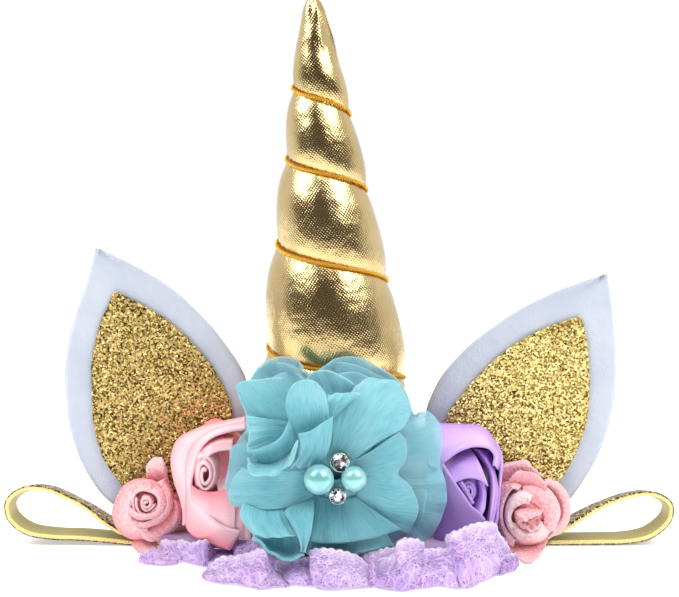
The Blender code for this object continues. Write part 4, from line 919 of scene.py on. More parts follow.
def lace_look():
    look = Look("lilac_lace", {"Roughness": 0.85, "Sheen Weight": 0.3, "Specular IOR Level": 0.2})
    where = look.place(True)
    flowers = look.ramp(look.noise(where, 330.0, 3.0, 0.6), ((0.42, 0.0), (0.60, 1.0)))
    knots = look.ramp(look.noise(where, 1100.0, 4.0, 0.75), ((0.42, 0.0), (0.62, 1.0)))
    thread = look.ramp(look.cells(where, 360.0, "Distance", "DISTANCE_TO_EDGE"), ((0.03, 1.0), (0.12, 0.0)))
    holes = look.ramp(look.cells(where, 1000.0, "Distance"), ((0.22, 1.0), (0.34, 0.0)))
    rim = look.point_value("rim")
    border = look.ramp(rim, ((0.72, 0.0), (0.84, 1.0)))
    open_net = look.math("MULTIPLY", holes, look.math("SUBTRACT", 1.0, look.math("MAXIMUM", flowers, border)))
    look.set(look.shader, {"Alpha": look.math("SUBTRACT", 1.0, look.math("MULTIPLY", open_net, 0.55))})
    shades = look.noise(look.place(), 80.0, 2.0)
    clouds = look.ramp(shades, ((0.36, (0.45, 0.20, 0.69)), (0.64, (0.71, 0.47, 0.91))))
    pale = look.math("MAXIMUM", look.math("MULTIPLY", knots, 0.40), look.math("MULTIPLY", thread, 0.35))
    pale = look.math("MAXIMUM", pale, look.math("MULTIPLY", flowers, 0.30))
    pale = look.math("MAXIMUM", pale, look.math("MULTIPLY", border, 0.75))
    tone = look.mix(pale, clouds, (0.92, 0.82, 0.99))
    look.color(look.mix(look.math("MULTIPLY", open_net, 0.5), tone, (0.35, 0.16, 0.52)))
    look.bump(look.math("MAXIMUM", flowers, border), 0.00024)
    look.bump(look.math("MAXIMUM", thread, knots), 0.0002)
    return look.material


def pearl_look():
    look = Look("teal_pearl", {"Roughness": 0.22, "Metallic": 0.25, "Coat Weight": 1.0,
                               "Coat Roughness": 0.12, "Sheen Weight": 0.4, "Specular IOR Level": 0.6})
    shift = look.noise(look.place(), 160.0, 2.0)
    look.color(look.ramp(shift, ((0.3, (0.17, 0.52, 0.53)), (0.7, (0.36, 0.72, 0.70)))))
    look.bump(look.noise(look.place(), 700.0), 0.00002)
    return look.material


def stone_look():
    look = Look("cut_stone", {"Metallic": 0.85, "Roughness": 0.04})
    # Painted reflections: each facet patch is coloured at random from near black to white, for the dark and
    # bright things a cut stone mirrors.
    facet = look.cells(look.place(), 900.0)
    shade = look.node("SeparateColor", {"Color": facet}).outputs["Green"]
    look.color(look.ramp(shade, ((0.2, (0.06, 0.05, 0.05)), (0.5, (0.45, 0.43, 0.42)),
                                 (0.8, (1.0, 1.0, 1.0)))))
    return look.material


def silver_look():
    look = Look("silver_claw", {"Metallic": 1.0, "Roughness": 0.25})
    wear = look.noise(look.place(), 900.0, 3.0)
    look.color(look.ramp(wear, ((0.3, (0.40, 0.39, 0.37)), (0.7, (0.80, 0.79, 0.77)))))
    look.bump(wear, 0.00003)
    return look.material


def band_inner_look():
    look = Look("band_lining", {"Roughness": 0.42, "Metallic": 0.35, "Sheen Weight": 0.2})
    ribs = look.lines(look.place(True, degrees=90.0), 0.0006, 0.5)
    look.color(look.mix(look.math("MULTIPLY", ribs, 0.4), (0.42, 0.35, 0.08), (0.62, 0.54, 0.19)))
    look.bump(ribs, 0.00008)
    return look.material


def band_edge_look():
    look = Look("band_edge", {"Roughness": 0.5, "Metallic": 0.2})
    cross = look.lines(look.place(True), 0.0011, 2.0)
    look.color(look.mix(look.math("MULTIPLY", cross, 0.25), (0.89, 0.76, 0.33), (0.66, 0.52, 0.15)))
    look.bump(cross, 0.0001)
    return look.material


# Band and felt base

def band_path():
    """Middle line of the band's thickness, once round the flattened loop."""
    low = BAND_THICK / 2
    high = low + BAND_THICK + GAP
    path = inset_line(smoothed(BAND_BEND_RIGHT, 8), 1.0)
    path += [np.array((x, high)) for x in np.linspace(BAND_HIGH_STRAIGHT, -BAND_HIGH_STRAIGHT, 40)]
    path += inset_line(smoothed(BAND_BEND_LEFT, 8), -1.0)[::-1]
    path += [np.array((x, low)) for x in np.linspace(-BAND_LOW_STRAIGHT, BAND_LOW_STRAIGHT, 40)]
    return np.array(path)


def inset_line(points, side):
    """The line moved in by half the band's thickness."""
    along = unit(np.gradient(points, axis=0))
    return list(points + np.stack([-along[:, 1], along[:, 0]], axis=1) * side * BAND_THICK / 2)


def make_band(glitter, lining, edge):
    """Elastic strip with rounded edges: glitter outside, ribbed lining inside."""
    path = band_path()
    count = len(path)
    along = unit(np.roll(path, -1, axis=0) - np.roll(path, 1, axis=0))
    across = np.stack([-along[:, 1], along[:, 0]], axis=1)
    width, thick, corner, flat = BAND_WIDTH / 2, BAND_THICK / 2, 0.35, 9
    ring = [(y, -thick) for y in np.linspace(-width + corner, width - corner, flat)]
    ring += [(width, -thick + BAND_COAT), (width, thick - corner)]
    ring += [(y, thick) for y in np.linspace(width - corner, -width + corner, flat)]
    ring += [(-width, thick - corner), (-width, -thick + BAND_COAT)]
    sides = len(ring)
    points, places = [], []
    distance = np.concatenate([[0], np.cumsum(np.linalg.norm(np.diff(path, axis=0), axis=1))])
    for i in range(count):
        raised = min(max((path[i][1] - BAND_TILT_START) / BAND_TILT_RISE, 0.0), 1.0)
        tilt = BAND_TILT * raised * max(0.0, -across[i][1])
        for y, lift in ring:
            at = path[i] + across[i] * (lift * math.cos(tilt) + y * math.sin(tilt))
            points.append((at[0], y * math.cos(tilt) - lift * math.sin(tilt), at[1]))
            places.append((distance[i] * MM, y * MM))
    faces = grid_faces(count, sides, closed=True)
    last = (count - 1) * sides
    faces += [(last + k, last + (k + 1) % sides, (k + 1) % sides, k) for k in range(sides)]
    mesh = mesh_from("band", points, faces)
    cloth_map(mesh, places)
    outside, inside = {*range(flat), sides - 1}, set(range(flat + 2, 2 * flat + 1))
    for polygon in mesh.polygons:
        place = polygon.vertices[0] % sides
        polygon.material_index = 0 if place in outside else 1 if place in inside else 2
    band = object_from("band", mesh, [glitter, lining, edge], ["elastic_band"])


def make_base(material):
    """Felt patch with a rounded, slightly wavy edge."""
    sides, rings = 120, 10
    points = []
    middle = (BASE_BOTTOM + BASE_TOP) / 2
    half = (BASE_TOP - BASE_BOTTOM) / 2
    profile = [(share, 1.0) for share in np.linspace(0.05, 0.97, rings)]
    profile += [(0.99, 0.75), (1.0, 0.25), (1.0, -0.25), (0.99, -0.75)]
    profile += [(share, -1.0) for share in np.linspace(0.97, 0.05, rings)]
    for share, lift in profile:
        for angle in circle(sides):
            depth = BASE_BACK if math.sin(angle) > 0 else BASE_FRONT
            reach = share * (1.0 - 0.006 * (1 + math.sin(9 * angle)))
            points.append((BASE_HALF_LENGTH * math.cos(angle) * reach, depth * math.sin(angle) * reach,
                           middle + half * lift))
    mesh = mesh_from("base_patch", points, capped_faces(len(profile), sides, reverse_first=False))
    base = object_from("base_patch", mesh, [material], ["felt_base"])


# Horn and its cord

def horn_axis(z):
    return np.array((HORN_FOOT_X + HORN_LEAN * z, 0.0, z))


def round_axis(z, radius, angle):
    """Point beside the horn's axis."""
    return horn_axis(z) + np.array((radius * math.cos(angle), radius * math.sin(angle), 0.0))


def horn_point(turns, phase):
    """Point of the stuffed skin: turns round the helix, and phase from one groove to the next below."""
    z = read_curve(GROOVE_HEIGHTS, turns + phase)
    swell = math.sin(math.pi * phase) ** 0.7 if 0.0 < phase < 1.0 else 0.0
    radius = read_curve(HORN_RADII, z) - read_curve(GROOVE_DEPTHS, z) * (1.0 - swell)
    angle = math.tau * turns
    pull = math.exp(-(phase / PLEAT_REACH)**2) + math.exp(-((1.0 - phase) / PLEAT_REACH)**2)
    pleats = math.sin(31.0 * angle + 2.0 * math.sin(3.0 * angle)) + math.sin(53.0 * angle + 1.0)
    radius += PLEAT_DEPTH * pull * pleats
    radius += LUMP_DEPTH * math.sin(2.3 * angle + z * 0.11) * math.sin(5.1 * turns + 3.0 * phase)
    return round_axis(z, radius, angle)


def make_horn(material):
    """Skin in strips that follow the helix, cut level at the foot and closed to a rounded tip."""
    columns, per_turn, first_turn, turn_count = 128, 22, -1, 7
    rows = turn_count * per_turn
    points = []
    for row in range(rows):
        for k in range(columns):
            points.append(horn_point(first_turn + row // per_turn + k / columns, (row % per_turn) / per_turn))
    faces = []
    for row in range(rows - 1):
        for k in range(columns):
            next_row, next_k = (row, k + 1) if k + 1 < columns else (row + per_turn, 0)
            if next_row < rows - 1:
                a, b = row * columns + k, next_row * columns + next_k
                faces.append((a, b, b + columns, a + columns))
    shape = bmesh.new()
    shape.from_mesh(mesh_from("horn_skin", points, faces))
    for height, upward in ((SEAT, -1), (HORN_SHOULDER, 1)):
        everything = shape.verts[:] + shape.edges[:] + shape.faces[:]
        bmesh.ops.bisect_plane(shape, geom=everything, dist=0.00001, plane_co=(0, 0, height * MM),
                               plane_no=(0, 0, upward), clear_outer=True)
    close_horn_tip(shape)
    bottom = [edge for edge in shape.edges if edge.is_boundary]
    bmesh.ops.contextual_create(shape, geom=bottom)
    bmesh.ops.recalc_face_normals(shape, faces=shape.faces)
    mesh = bpy.data.meshes.new("horn_skin")
    shape.to_mesh(mesh)
    shape.free()
    wrap_uv(mesh)
    horn = object_from("horn_skin", mesh, [material], ["horn"])


def close_horn_tip(shape):
    """Rings up to the tip, which is gathered into creases."""
    ring = [edge for edge in shape.edges
            if edge.is_boundary and min(v.co.z for v in edge.verts) > (HORN_SHOULDER - 1) * MM]
    heights = list(np.arange(HORN_SHOULDER + 0.8, TIP_ROUNDING, 0.8)) + [168.0, 168.5, 168.9, 169.2, 169.4]
    for height in heights:
        grown = bmesh.ops.extrude_edge_only(shape, edges=ring)["geom"]
        ring = [part for part in grown if isinstance(part, bmesh.types.BMEdge)]
        for vert in {vert for edge in ring for vert in edge.verts}:
            below = horn_axis(vert.co.z / MM)
            angle = math.atan2(vert.co.y / MM - below[1], vert.co.x / MM - below[0])
            if height <= TIP_ROUNDING:
                radius = read_curve(HORN_RADII, height)
            else:
                radius = TIP_RADIUS * math.sqrt(max(0.0, 1.0 - ((height - TIP_MIDDLE) / TIP_HEIGHT)**2))
            gather = max(0.0, (height - GATHER_START) / GATHER_RISE)
            for at, deep, wide in TIP_CREASES:
                away = abs((angle - at + math.pi) % math.tau - math.pi)
                radius -= deep * gather * math.exp(-(away / wide)**2)
            vert.co = Vector(round_axis(height, radius, angle)) * MM
    grown = bmesh.ops.extrude_edge_only(shape, edges=ring)["geom"]
    tip = [part for part in grown if isinstance(part, bmesh.types.BMVert)]
    bmesh.ops.pointmerge(shape, verts=tip, merge_co=Vector(horn_axis(HORN_TIP)) * MM)


def wrap_uv(mesh):
    """Cloth UV map round the horn: metres round it and metres up."""
    layer = mesh.uv_layers.new(name="Cloth")
    uv = np.zeros((len(mesh.loops), 2))
    for polygon in mesh.polygons:
        angles, heights = [], []
        for index in polygon.vertices:
            co = mesh.vertices[index].co
            angles.append(math.atan2(co.x - horn_axis(co.z / MM)[0] * MM, -co.y))
            heights.append(co.z)
        if max(angles) - min(angles) > math.pi:
            angles = [angle + math.tau if angle < 0 else angle for angle in angles]
        for loop, angle, height in zip(polygon.loop_indices, angles, heights):
            around = read_curve(HORN_RADII, sum(heights) / len(heights) / MM) * MM
            uv[loop] = (angle * around, height)
    layer.data.foreach_set("uv", uv.ravel())


def make_cord(material):
    """Two plies twisted together along the groove."""
    steps, pitch, ply, offset, sides = 2400, 1.7, 0.30, 0.33, 7
    centres = []
    for i in range(steps + 1):
        turns = CORD_START + (CORD_END - CORD_START) * i / steps
        z = read_curve(GROOVE_HEIGHTS, turns)
        radius = read_curve(HORN_RADII, z) - read_curve(GROOVE_DEPTHS, z) + CORD_RADIUS + CORD_LIFT
        centres.append(round_axis(z, radius, math.tau * turns))
    centres = np.array(centres)
    along = unit(np.gradient(centres, axis=0))
    out = centres.copy()
    out[:, 0] -= HORN_FOOT_X + HORN_LEAN * centres[:, 2]
    out[:, 2] = 0.0
    up = unit(np.cross(along, unit(out)))
    out = np.cross(up, along)
    distance = np.concatenate([[0], np.cumsum(np.linalg.norm(np.diff(centres, axis=0), axis=1))])
    rows = steps + 1
    points, faces, places = [], [], []
    for strand in (0.0, math.pi):
        twist = (math.tau * distance / pitch + strand)[:, None]
        middle = centres + offset * (out * np.cos(twist) + up * np.sin(twist))
        start = len(points)
        for angle in circle(sides):
            points += list(middle + ply * (out * math.cos(angle) + up * math.sin(angle)))
            places += [(length * MM, ply * angle * MM) for length in distance]
        for k in range(sides):
            a, b = start + k * rows, start + (k + 1) % sides * rows
            faces += [(a + i, a + i + 1, b + i + 1, b + i) for i in range(steps)]
        foot = [start + k * rows for k in range(sides)]
        faces += [tuple(foot), tuple(k + steps for k in reversed(foot))]
    mesh = mesh_from("cord_twist", points, faces)
    cloth_map(mesh, places)
    object_from("cord_twist", mesh, [material], ["horn_cord"])


# Ears

def make_ear(name, table, felt, front, thickness, spacing, rounding, rough, seed):
    """Cut sheet with a rounded edge that curls forward at its sides; rough stirs its front's points."""
    random = np.random.default_rng(seed)
    edges = [{row[0]: row[side] for row in outline} for outline in (table, felt) for side in (1, 2)]
    heights = np.linspace(table[0][0], table[-1][0], int((table[-1][0] - table[0][0]) / spacing) + 1)
    rows, columns = len(heights), int(EAR_WIDTH / spacing)
    across = np.linspace(0.0, 1.0, columns + 1)
    fronts, backs = [], []
    for i, z in enumerate(heights):
        left, right, outer_left, outer_right = [read_curve(edge, z) for edge in edges]
        lift = EAR_CUP * min(max((z - EAR_CUP_START) / EAR_CUP_RISE, 0.0), 1.0)
        x = left + (right - left) * across
        inside = np.minimum(x - left, right - x)
        inside = np.minimum(inside, min(z - heights[0], heights[-1] - z) * 1.5)
        full = np.sqrt(1.0 - (1.0 - np.clip(inside / rounding, 0.0, 1.0))**2)
        aside = (2.0 * x - outer_left - outer_right) / (outer_right - outer_left)
        middle = front + thickness / 2 - lift * aside**2
        jitter = random.uniform(-rough, rough, (3, columns + 1)) * (full > 0.99) * (0 < i < rows - 1)
        depth = full * thickness / 2
        height = np.full_like(x, z)
        fronts.append(np.stack([x + jitter[0] * 1.5, middle - depth + jitter[1], height + jitter[2]], axis=1))
        backs.append(np.stack([x, middle + depth, height], axis=1))
    faces = grid_faces(rows, columns + 1)
    faces += [face[::-1] for face in grid_faces(rows, columns + 1, rows * (columns + 1))]
    mesh = mesh_from(name, np.concatenate(fronts + backs), faces)
    shape = bmesh.new()
    shape.from_mesh(mesh)
    bmesh.ops.remove_doubles(shape, verts=shape.verts, dist=0.000005)
    bmesh.ops.triangulate(shape, faces=shape.faces)
    bmesh.ops.recalc_face_normals(shape, faces=shape.faces)
    shape.to_mesh(mesh)
    shape.free()
    return mesh


def make_ears():
    felt = felt_look("white_felt", (0.60, 0.65, 0.74), (0.52, 0.58, 0.70))
    # Dark, middle and bright flake colours; the bright ones are partly painted glints.
    gold_tones_and_glints = {"left": ((0.05, 0.03, 0.005), (0.36, 0.25, 0.05), (0.86, 0.69, 0.29)),
             "right": ((0.14, 0.09, 0.015), (0.58, 0.42, 0.10), (1.0, 0.84, 0.38))}
    outlines = {"left": (EAR_FELT_LEFT, EAR_GLITTER_LEFT), "right": (EAR_FELT_RIGHT, EAR_GLITTER_RIGHT)}
    for side, (outer, inner) in outlines.items():
        glitter = glitter_look("gold_glitter_" + side, *gold_tones_and_glints[side], 2000.0)
        mesh = make_ear("ear_outer_" + side, outer, outer, 0.0, FELT_THICK, 1.0, 0.9, 0.0, 3)
        ear = object_from("ear_outer_" + side, mesh, [felt], ["ear_felt_" + side])
        mesh = make_ear("ear_inner_" + side, inner, outer, GLITTER_FRONT, GLITTER_THICK, 0.42, 0.3, 0.06, 5)
        inlay = object_from("ear_inner_" + side, mesh, [glitter], ["ear_glitter_" + side],
                            smooth=False)


# Studio

def make_studio():
    """Pale table, three soft lights and the camera."""
    floor_mesh = mesh_from("floor", [(-900, -900, 0), (900, -900, 0), (900, 800, 0), (-900, 800, 0)],
                           [(0, 1, 2, 3)])
    floor = bpy.data.objects.new("floor", floor_mesh)
    bpy.context.scene.collection.objects.link(floor)
    floor_look = Look("pale_table", {"Base Color": (0.93, 0.93, 0.93), "Roughness": 0.6,
                                     "Specular IOR Level": 0.2, "Emission Color": (1.0, 1.0, 1.0),
                                     "Emission Strength": 0.4})
    floor_mesh.materials.append(floor_look.material)
    floor.location.z = -0.0001
    for name, place, target, size, power in LIGHTS:
        add_light(name, place, target, size, power)
    make_room()
    camera = bpy.data.objects.new("camera", bpy.data.cameras.new("camera"))
    bpy.context.scene.collection.objects.link(camera)
    camera.data.sensor_width = SENSOR_WIDTH
    camera.data.lens = SENSOR_WIDTH * FOCAL_PIXELS / PHOTO_WIDTH
    camera.location = CAMERA_PLACE
    camera.rotation_euler = (math.radians(90.0 - CAMERA_DOWN), 0.0, 0.0)
    bpy.context.scene.camera = camera
    bpy.context.scene.view_settings.view_transform = "Standard"


def add_light(name, place, target, size, power):
    light = bpy.data.lights.new(name, "AREA")
    light.size = size
    light.energy = power
    obj = bpy.data.objects.new(name, light)
    bpy.context.scene.collection.objects.link(obj)
    obj.location = place
    obj.rotation_euler = (Vector(target) - Vector(place)).to_track_quat("-Z", "Y").to_euler()


def make_room():
    """Light all round, except a dark part low behind the camera, which only the gloss shows."""
    world = bpy.data.worlds.new("room")
    bpy.context.scene.world = world
    world.use_nodes = True
    room = Nodes(world.node_tree)
    direction = room.node("TexCoord", {}).outputs["Generated"]
    parts = room.node("SeparateXYZ", {"Vector": direction}).outputs
    frontness = room.smooth_step(parts["Y"], 0.25, -0.45)
    lowness = room.smooth_step(parts["Z"], 0.93, 0.72)
    unseen = room.math("SUBTRACT", 1.0, room.node("LightPath", {}).outputs["Is Camera Ray"])
    shade = room.math("MULTIPLY", room.math("MULTIPLY", frontness, lowness), unseen)
    color = room.mix(shade, (1.0, 1.0, 1.0), (0.12, 0.105, 0.095))
    room.set(world.node_tree.nodes["Background"], {"Color": color, "Strength": 1.0})


# Lace

def scallop_rim(grid, pitch, reach):
    """Small rounded scallops along the last row."""
    length = np.concatenate([[0], np.cumsum(np.linalg.norm(np.diff(grid[-1], axis=0), axis=1))])
    out = unit(grid[-1] - grid[-3])
    wave = np.abs(np.sin(math.pi * length / pitch))[:, None]
    shares = np.linspace(0.0, 1.0, 6)[1:]
    for row, share in zip(range(-5, 0), shares):
        grid[row] += out * wave * reach * share
    return grid


def lace_points(lean, bulge, columns):
    """A lobe's rows: sewn edge, slope, fold on the table, two over its bulging middle, and rim.

    A column holds its fold's forward and x and its rim's x and z. The rim stands lean behind the fold.
    """
    rows = [[], [], [], [], [], []]
    for forward, x, rim_x, rim_z in columns:
        rim = round(forward - lean, 1)
        rows[0].append((x * 0.96, LACE_ROOT, 3.0))
        rows[1].append((x * 0.98, (LACE_ROOT + forward) / 2, 1.6))
        rows[2].append((x, forward, LACE_FOLD))
        rows[3].append(((x + rim_x) / 2, (forward + rim) / 2 + bulge, (LACE_FOLD + rim_z) / 2))
        rows[4].append((x * 0.25 + rim_x * 0.75, forward * 0.25 + rim * 0.75 + bulge * 0.8,
                        LACE_FOLD * 0.25 + rim_z * 0.75))
        rows[5].append((rim_x, rim, rim_z))
    return [[(round(x, 1), -round(depth, 1), round(z, 1)) for x, depth, z in row] for row in rows]


def make_lace(material):
    grids = []
    for index, lobe in enumerate(LACE_LOBES.values()):
        grid = above_table(smooth_grid(lace_points(*lobe), 7))
        grid = crumple(grid, 0.7, 2.2, 60 + index)
        grid = crumple(grid, 0.15, 6.0, 80 + index)
        grid = above_table(scallop_rim(grid, 2.4, 0.55))
        grids.append(roll_rim(grid, 0.16))
    lace = cloth_piece("lace_frill", grids, material, 0.3, ["lace_ruffle"])


# Flower centre

def lathe(name, profile, sides, place, axis):
    """Turned mesh from (radius, distance) rows, closed at both ends."""
    turn = np.array(Vector((0, 0, 1)).rotation_difference(Vector(axis).normalized()).to_matrix())
    points = []
    for radius, distance in profile:
        for angle in circle(sides):
            local = np.array((radius * math.cos(angle), radius * math.sin(angle), distance))
            points.append(np.array(place) + turn @ local)
    return mesh_from(name, points, capped_faces(len(profile), sides))


def make_pearl(name, bead, node, material):
    x, z, radius = bead
    turns = np.linspace(0.06, math.pi - 0.06, 40)
    profile = [(radius * math.sin(a), -radius * math.cos(a)) for a in turns]
    profile = [(0.35, profile[0][1] + 0.5)] + profile + [(0.35, profile[-1][1] - 0.5)]
    mesh = lathe(name, profile, 64, (x, FLOWER_FRONT - GAP - radius, z), (1.0, 0.0, 0.15))
    object_from(name, mesh, [material], [node])


def make_stone(name, setting, node, stone_material, silver):
    """Claw setting with a cut stone: a flat table, kite facets round it and a girdle."""
    x, z, radius = setting
    place = (x, FLOWER_FRONT - GAP, z)
    profile = [(radius * 0.70, 0.0), (radius * 0.98, 1.2), (radius, 2.4), (radius * 0.93, 2.7),
               (radius * 0.88, 2.5)]
    cup = lathe(name + "_cup", profile, 40, place, (0, -1, 0))
    shape = bmesh.new()
    shape.from_mesh(cup)
    for k in range(4):
        add_claw(shape, place, radius, math.tau * (k + 0.5) / 4)
    bmesh.ops.recalc_face_normals(shape, faces=shape.faces)
    shape.to_mesh(cup)
    shape.free()
    object_from(name + "_setting", cup, [silver], [node])
    sides = 16
    levels = [(0.05, 1.4, 0.0), (0.90, 2.6, 0.0), (0.90, 2.9, 0.0), (0.70, 3.5, 0.5), (0.46, 3.95, 0.0)]
    points = []
    for share, height, shift in levels:
        for k in range(sides):
            angle = math.tau * (k + shift) / sides
            wobble = 1.0 - 0.10 * (k % 2) * (share < 0.89)
            points.append((place[0] + radius * share * wobble * math.cos(angle), place[1] - height,
                           place[2] + radius * share * wobble * math.sin(angle)))
    faces = []
    for a, b, above_b, above_a in grid_faces(len(levels), sides, closed=True):
        faces += [(a, b, above_a), (b, above_b, above_a)]
    faces += [tuple(range(sides)), tuple(range(len(points) - sides, len(points)))]
    mesh = mesh_from(name + "_stone", points, faces)
    shape = bmesh.new()
    shape.from_mesh(mesh)
    bmesh.ops.recalc_face_normals(shape, faces=shape.faces)
    shape.to_mesh(mesh)
    shape.free()
    object_from(name + "_stone", mesh, [stone_material], [node], smooth=False)


def add_claw(shape, place, radius, angle):
    """Claw that rises beside the stone at this angle and bends over its edge."""
    rings = []
    for share, height, wide in ((1.0, 0.6, 0.38), (1.02, 2.4, 0.38), (0.94, 3.3, 0.30), (0.80, 3.75, 0.22)):
        ring = []
        for a in np.linspace(0, math.tau, 8, endpoint=False):
            out, aside = radius * share + 0.25 * math.cos(a), wide * math.sin(a)
            turned = (out * math.cos(angle) - aside * math.sin(angle), -height,
                      out * math.sin(angle) + aside * math.cos(angle))
            ring.append(shape.verts.new((Vector(place) + Vector(turned)) * MM))
        rings.append(ring)
    for low, high in zip(rings, rings[1:]):
        for a in range(8):
            shape.faces.new((low[a], low[(a + 1) % 8], high[(a + 1) % 8], high[a]))
    shape.faces.new(rings[-1])
    shape.faces.new(reversed(rings[0]))


# Flower

def ruffle(outline, centre, forwards, scale, waves, seed):
    """Gathered layer from the centre out to a share of an outline, with its rim waving back and forth."""
    random = np.random.default_rng(seed)
    rim = smoothed(outline + outline[:1], 8)
    turn = np.linspace(0.0, math.tau, len(rim))
    phases = random.uniform(0, math.tau, 3)
    grid = []
    for v in np.linspace(0.12, 1.0, 30):
        reach = scale * v * (1.0 + 0.03 * v * np.sin(waves * turn + phases[0]))
        wave = np.sin(waves * turn + phases[1]) + 0.6 * np.sin((waves * 2 + 1) * turn + phases[2])
        forward = forwards[0] + (forwards[1] - forwards[0]) * v**1.5 + wave * 1.1 * v**2
        grid.append(np.stack([centre[0] + (rim[:, 0] - centre[0]) * reach, -forward,
                              centre[1] + (rim[:, 1] - centre[1]) * reach], axis=1))
    return np.array(grid)


def make_flower():
    back = [roll_rim(crumple(petal_grid(rows, 8), 0.5, 3.0, 20 + index), 0.25)
            for index, rows in enumerate(FLOWER_BACK_PETALS.values())]
    front = [roll_rim(crumple(petal_grid(rows, 8), 0.35, 2.5, 40 + index), 0.3)
             for index, rows in enumerate(FLOWER_PETALS.values())]
    middle = (FLOWER_X, FLOWER_Z - 2.5)
    back.append(roll_rim(ruffle(FLOWER_OUTLINE, middle, (30.0, 27.0), 0.96, 7, 4), 0.25))
    back.append(roll_rim(ruffle(FLOWER_OUTLINE, middle, (33.0, 30.0), 0.86, 6, 9), 0.25))
    front.append(ruffle(FLOWER_OUTLINE, middle, (37.0, 34.5), 0.45, 6, 2))
    # Painted shade for each front petal, and for the small gathered layer added last.
    painted_light = [FLOWER_PAINTED_SHADE.get(petal, 1.0) for petal in FLOWER_PETALS] + [0.85]
    sheer = chiffon_look("teal_chiffon_sheer", (0.17, 0.52, 0.62), (0.45, 0.80, 0.92), 0.45)
    dense = chiffon_look("teal_chiffon", (0.09, 0.38, 0.46), (0.37, 0.72, 0.80), 0.82)
    under = cloth_piece("flower_sheer_petals", back, sheer, 0.25, ["chiffon_flower"])
    over = cloth_piece("flower_petals", front, dense, 0.3, ["chiffon_flower"], painted_light)
    # The core carries no tone, so it is drawn wholly in the painted shadow teal, a dark fill seen in the gaps
    # between the petals.
    profile = [(6.5, -14.0), (8.0, 0.0), (9.5, 1.0), (8.5, 5.0), (5.5, 9.0), (2.0, 12.0)]
    core = lathe("flower_core", profile, 40, (FLOWER_X, FLOWER_BACK, FLOWER_Z), (0, -1, 0))
    object_from("flower_core", core, [dense], ["chiffon_flower"])


# Roses

def rolled_bud(centre, forward, radii, stretch, turns, depth, spread, start, fall):
    """Ribbon rolled round the rose's eye: its rim winds outwards and its foot lies deeper and wider."""
    steps = int(turns * 40)
    t = np.arange(steps + 1) / steps
    angle = math.radians(start) + math.tau * turns * t
    grid = []
    for v in np.linspace(0.0, 1.0, 10):
        radius = radii[0] + (radii[1] - radii[0]) * t + spread * (1.0 - v)
        radius = radius * (1.0 + 0.05 * np.sin(3.0 * angle + 1.0))
        grid.append(np.stack([centre[0] + radius * np.cos(angle),
                              -forward + fall * t**1.5 + depth * (1.0 - v),
                              centre[1] + radius * stretch * np.sin(angle)], axis=1))
    return np.array(grid)


def lump(name, centre, sizes, material, node):
    """Wound ribbon in a rose's heart, from the rose's back to the forward distance in centre."""
    half = (centre[1] - ROSE_BACK) / 2
    points = []
    levels, sides = 20, 40
    for i in range(levels):
        tilt = -math.pi / 2 + math.pi * (i + 0.5) / levels
        for angle in circle(sides):
            fold = 1.0 + 0.04 * math.sin(5.0 * angle + 3.0 * tilt)
            points.append((centre[0] + sizes[0] * fold * math.cos(tilt) * math.cos(angle),
                           -ROSE_BACK - half - half * math.sin(tilt),
                           centre[2] + sizes[1] * fold * math.cos(tilt) * math.sin(angle)))
    mesh = mesh_from(name, points, capped_faces(levels, sides))
    point_values(mesh, "tone", [1.0] * len(points))
    object_from(name, mesh, [material], [node])


def make_rose(name, petals, buds, wrapped, centre, node, material, roll, ripple):
    """Petals and rolled hearts in one piece; the wrapped petals reach round to the rose's back."""
    grids = []
    for index, (petal, rows) in enumerate(petals.items()):
        if petal in wrapped:
            middle = (centre[0], centre[2]) * (len(rows[0]) // 2)
            back = [m + WRAP_SHARE * (value - m) for m, value in zip(middle, rows[0][1:])]
            rows = ((ROSE_BACK + 0.8, *back), *rows)
        grid = crumple(petal_grid(rows, 7), ripple, 2.0, index + len(name))
        grids.append(above_table(roll_rim(grid, roll)))
    for bud in buds:
        grids.append(roll_rim(rolled_bud(*bud), roll * 0.6))
    painted_light = [ROSE_PAINTED_HIGHLIGHTS.get(petal, 1.0) for petal in petals] + [1.0] * len(buds)
    rose = cloth_piece(name, grids, material, 0.35, [node], painted_light)


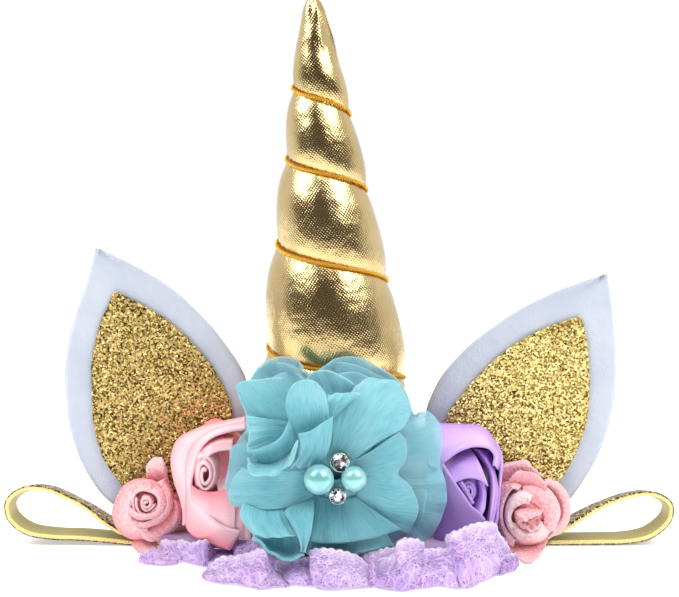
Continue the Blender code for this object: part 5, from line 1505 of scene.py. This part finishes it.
def make_roses():
    # Each rose's first colour is painted shade, used at the petals' roots and in its heart; the second is a
    # painted highlight at the rims.
    pink = satin_look("pink_satin", (1.0, 0.26, 0.33), (1.0, 0.66, 0.71))
    purple = satin_look("purple_satin", (0.30, 0.08, 0.62), (0.70, 0.46, 1.0))
    # Painted shade: a near-black purple satin for the purple rose's heart, the dark gap behind its petals.
    shade = satin_look("purple_satin_painted_shade", (0.05, 0.005, 0.13), (0.10, 0.02, 0.22))
    salmon = fuzzy_look("salmon_chiffon", (1.0, 0.33, 0.37), (1.0, 0.64, 0.68))
    roses = (
        ("rose_pink", PINK_PETALS, PINK_BUDS, ("outer_back",), (-37.5, 21.0, 25.0), (11.0, 16.0),
         "satin_rose_pink", "satin_pink", pink, pink, 0.45, 0.15),
        ("rose_purple", PURPLE_PETALS, PURPLE_BUDS, ("top", "left"), (38.2, 17.0, 23.0), (10.0, 15.5),
         "satin_rose_purple", "satin_purple", purple, shade, 0.4, 0.1),
        ("rose_small_left", LEFT_PETALS, LEFT_BUDS, (), (-59.0, 14.8, 15.2), (6.6, 6.6),
         "chiffon_rose_left", "chiffon_salmon", salmon, salmon, 0.35, 0.3),
        ("rose_small_right", RIGHT_PETALS, (), (), (58.0, 15.4, 13.0), (7.6, 8.6),
         "chiffon_rose_right", "chiffon_salmon", salmon, salmon, 0.35, 0.3))
    for name, petals, buds, wrapped, centre, sizes, node, slot, material, inside, roll, ripple in roses:
        make_rose(name, petals, buds, wrapped, centre, node, material, roll, ripple)
        # Each heart has no rim value, so it shows its material's deep colour, a painted shade.
        lump(name + "_core", centre, sizes, inside, node)


# All of it

def main():
    make_studio()
    # Dark to bright flake colours; the bright end is partly a painted glint.
    glitter = glitter_look("band_glitter", (0.012, 0.007, 0.002), (0.10, 0.06, 0.015), (0.62, 0.47, 0.20),
                           2200.0, 0.9)
    make_band(glitter, band_inner_look(), band_edge_look())
    make_base(felt_look("lilac_felt", (0.60, 0.42, 0.72), (0.50, 0.33, 0.62)))
    make_horn(lame_look())
    make_cord(cord_look())
    make_ears()
    make_flower()
    make_roses()
    pearl = pearl_look()
    make_pearl("bead_left", PEARL_LEFT, "pearl_left", pearl)
    make_pearl("bead_right", PEARL_RIGHT, "pearl_right", pearl)
    stone, silver = stone_look(), silver_look()
    make_stone("stone_top", RHINESTONE_TOP, "rhinestone_top", stone, silver)
    make_stone("stone_bottom", RHINESTONE_BOTTOM, "rhinestone_bottom", stone, silver)
    make_lace(lace_look())


main()
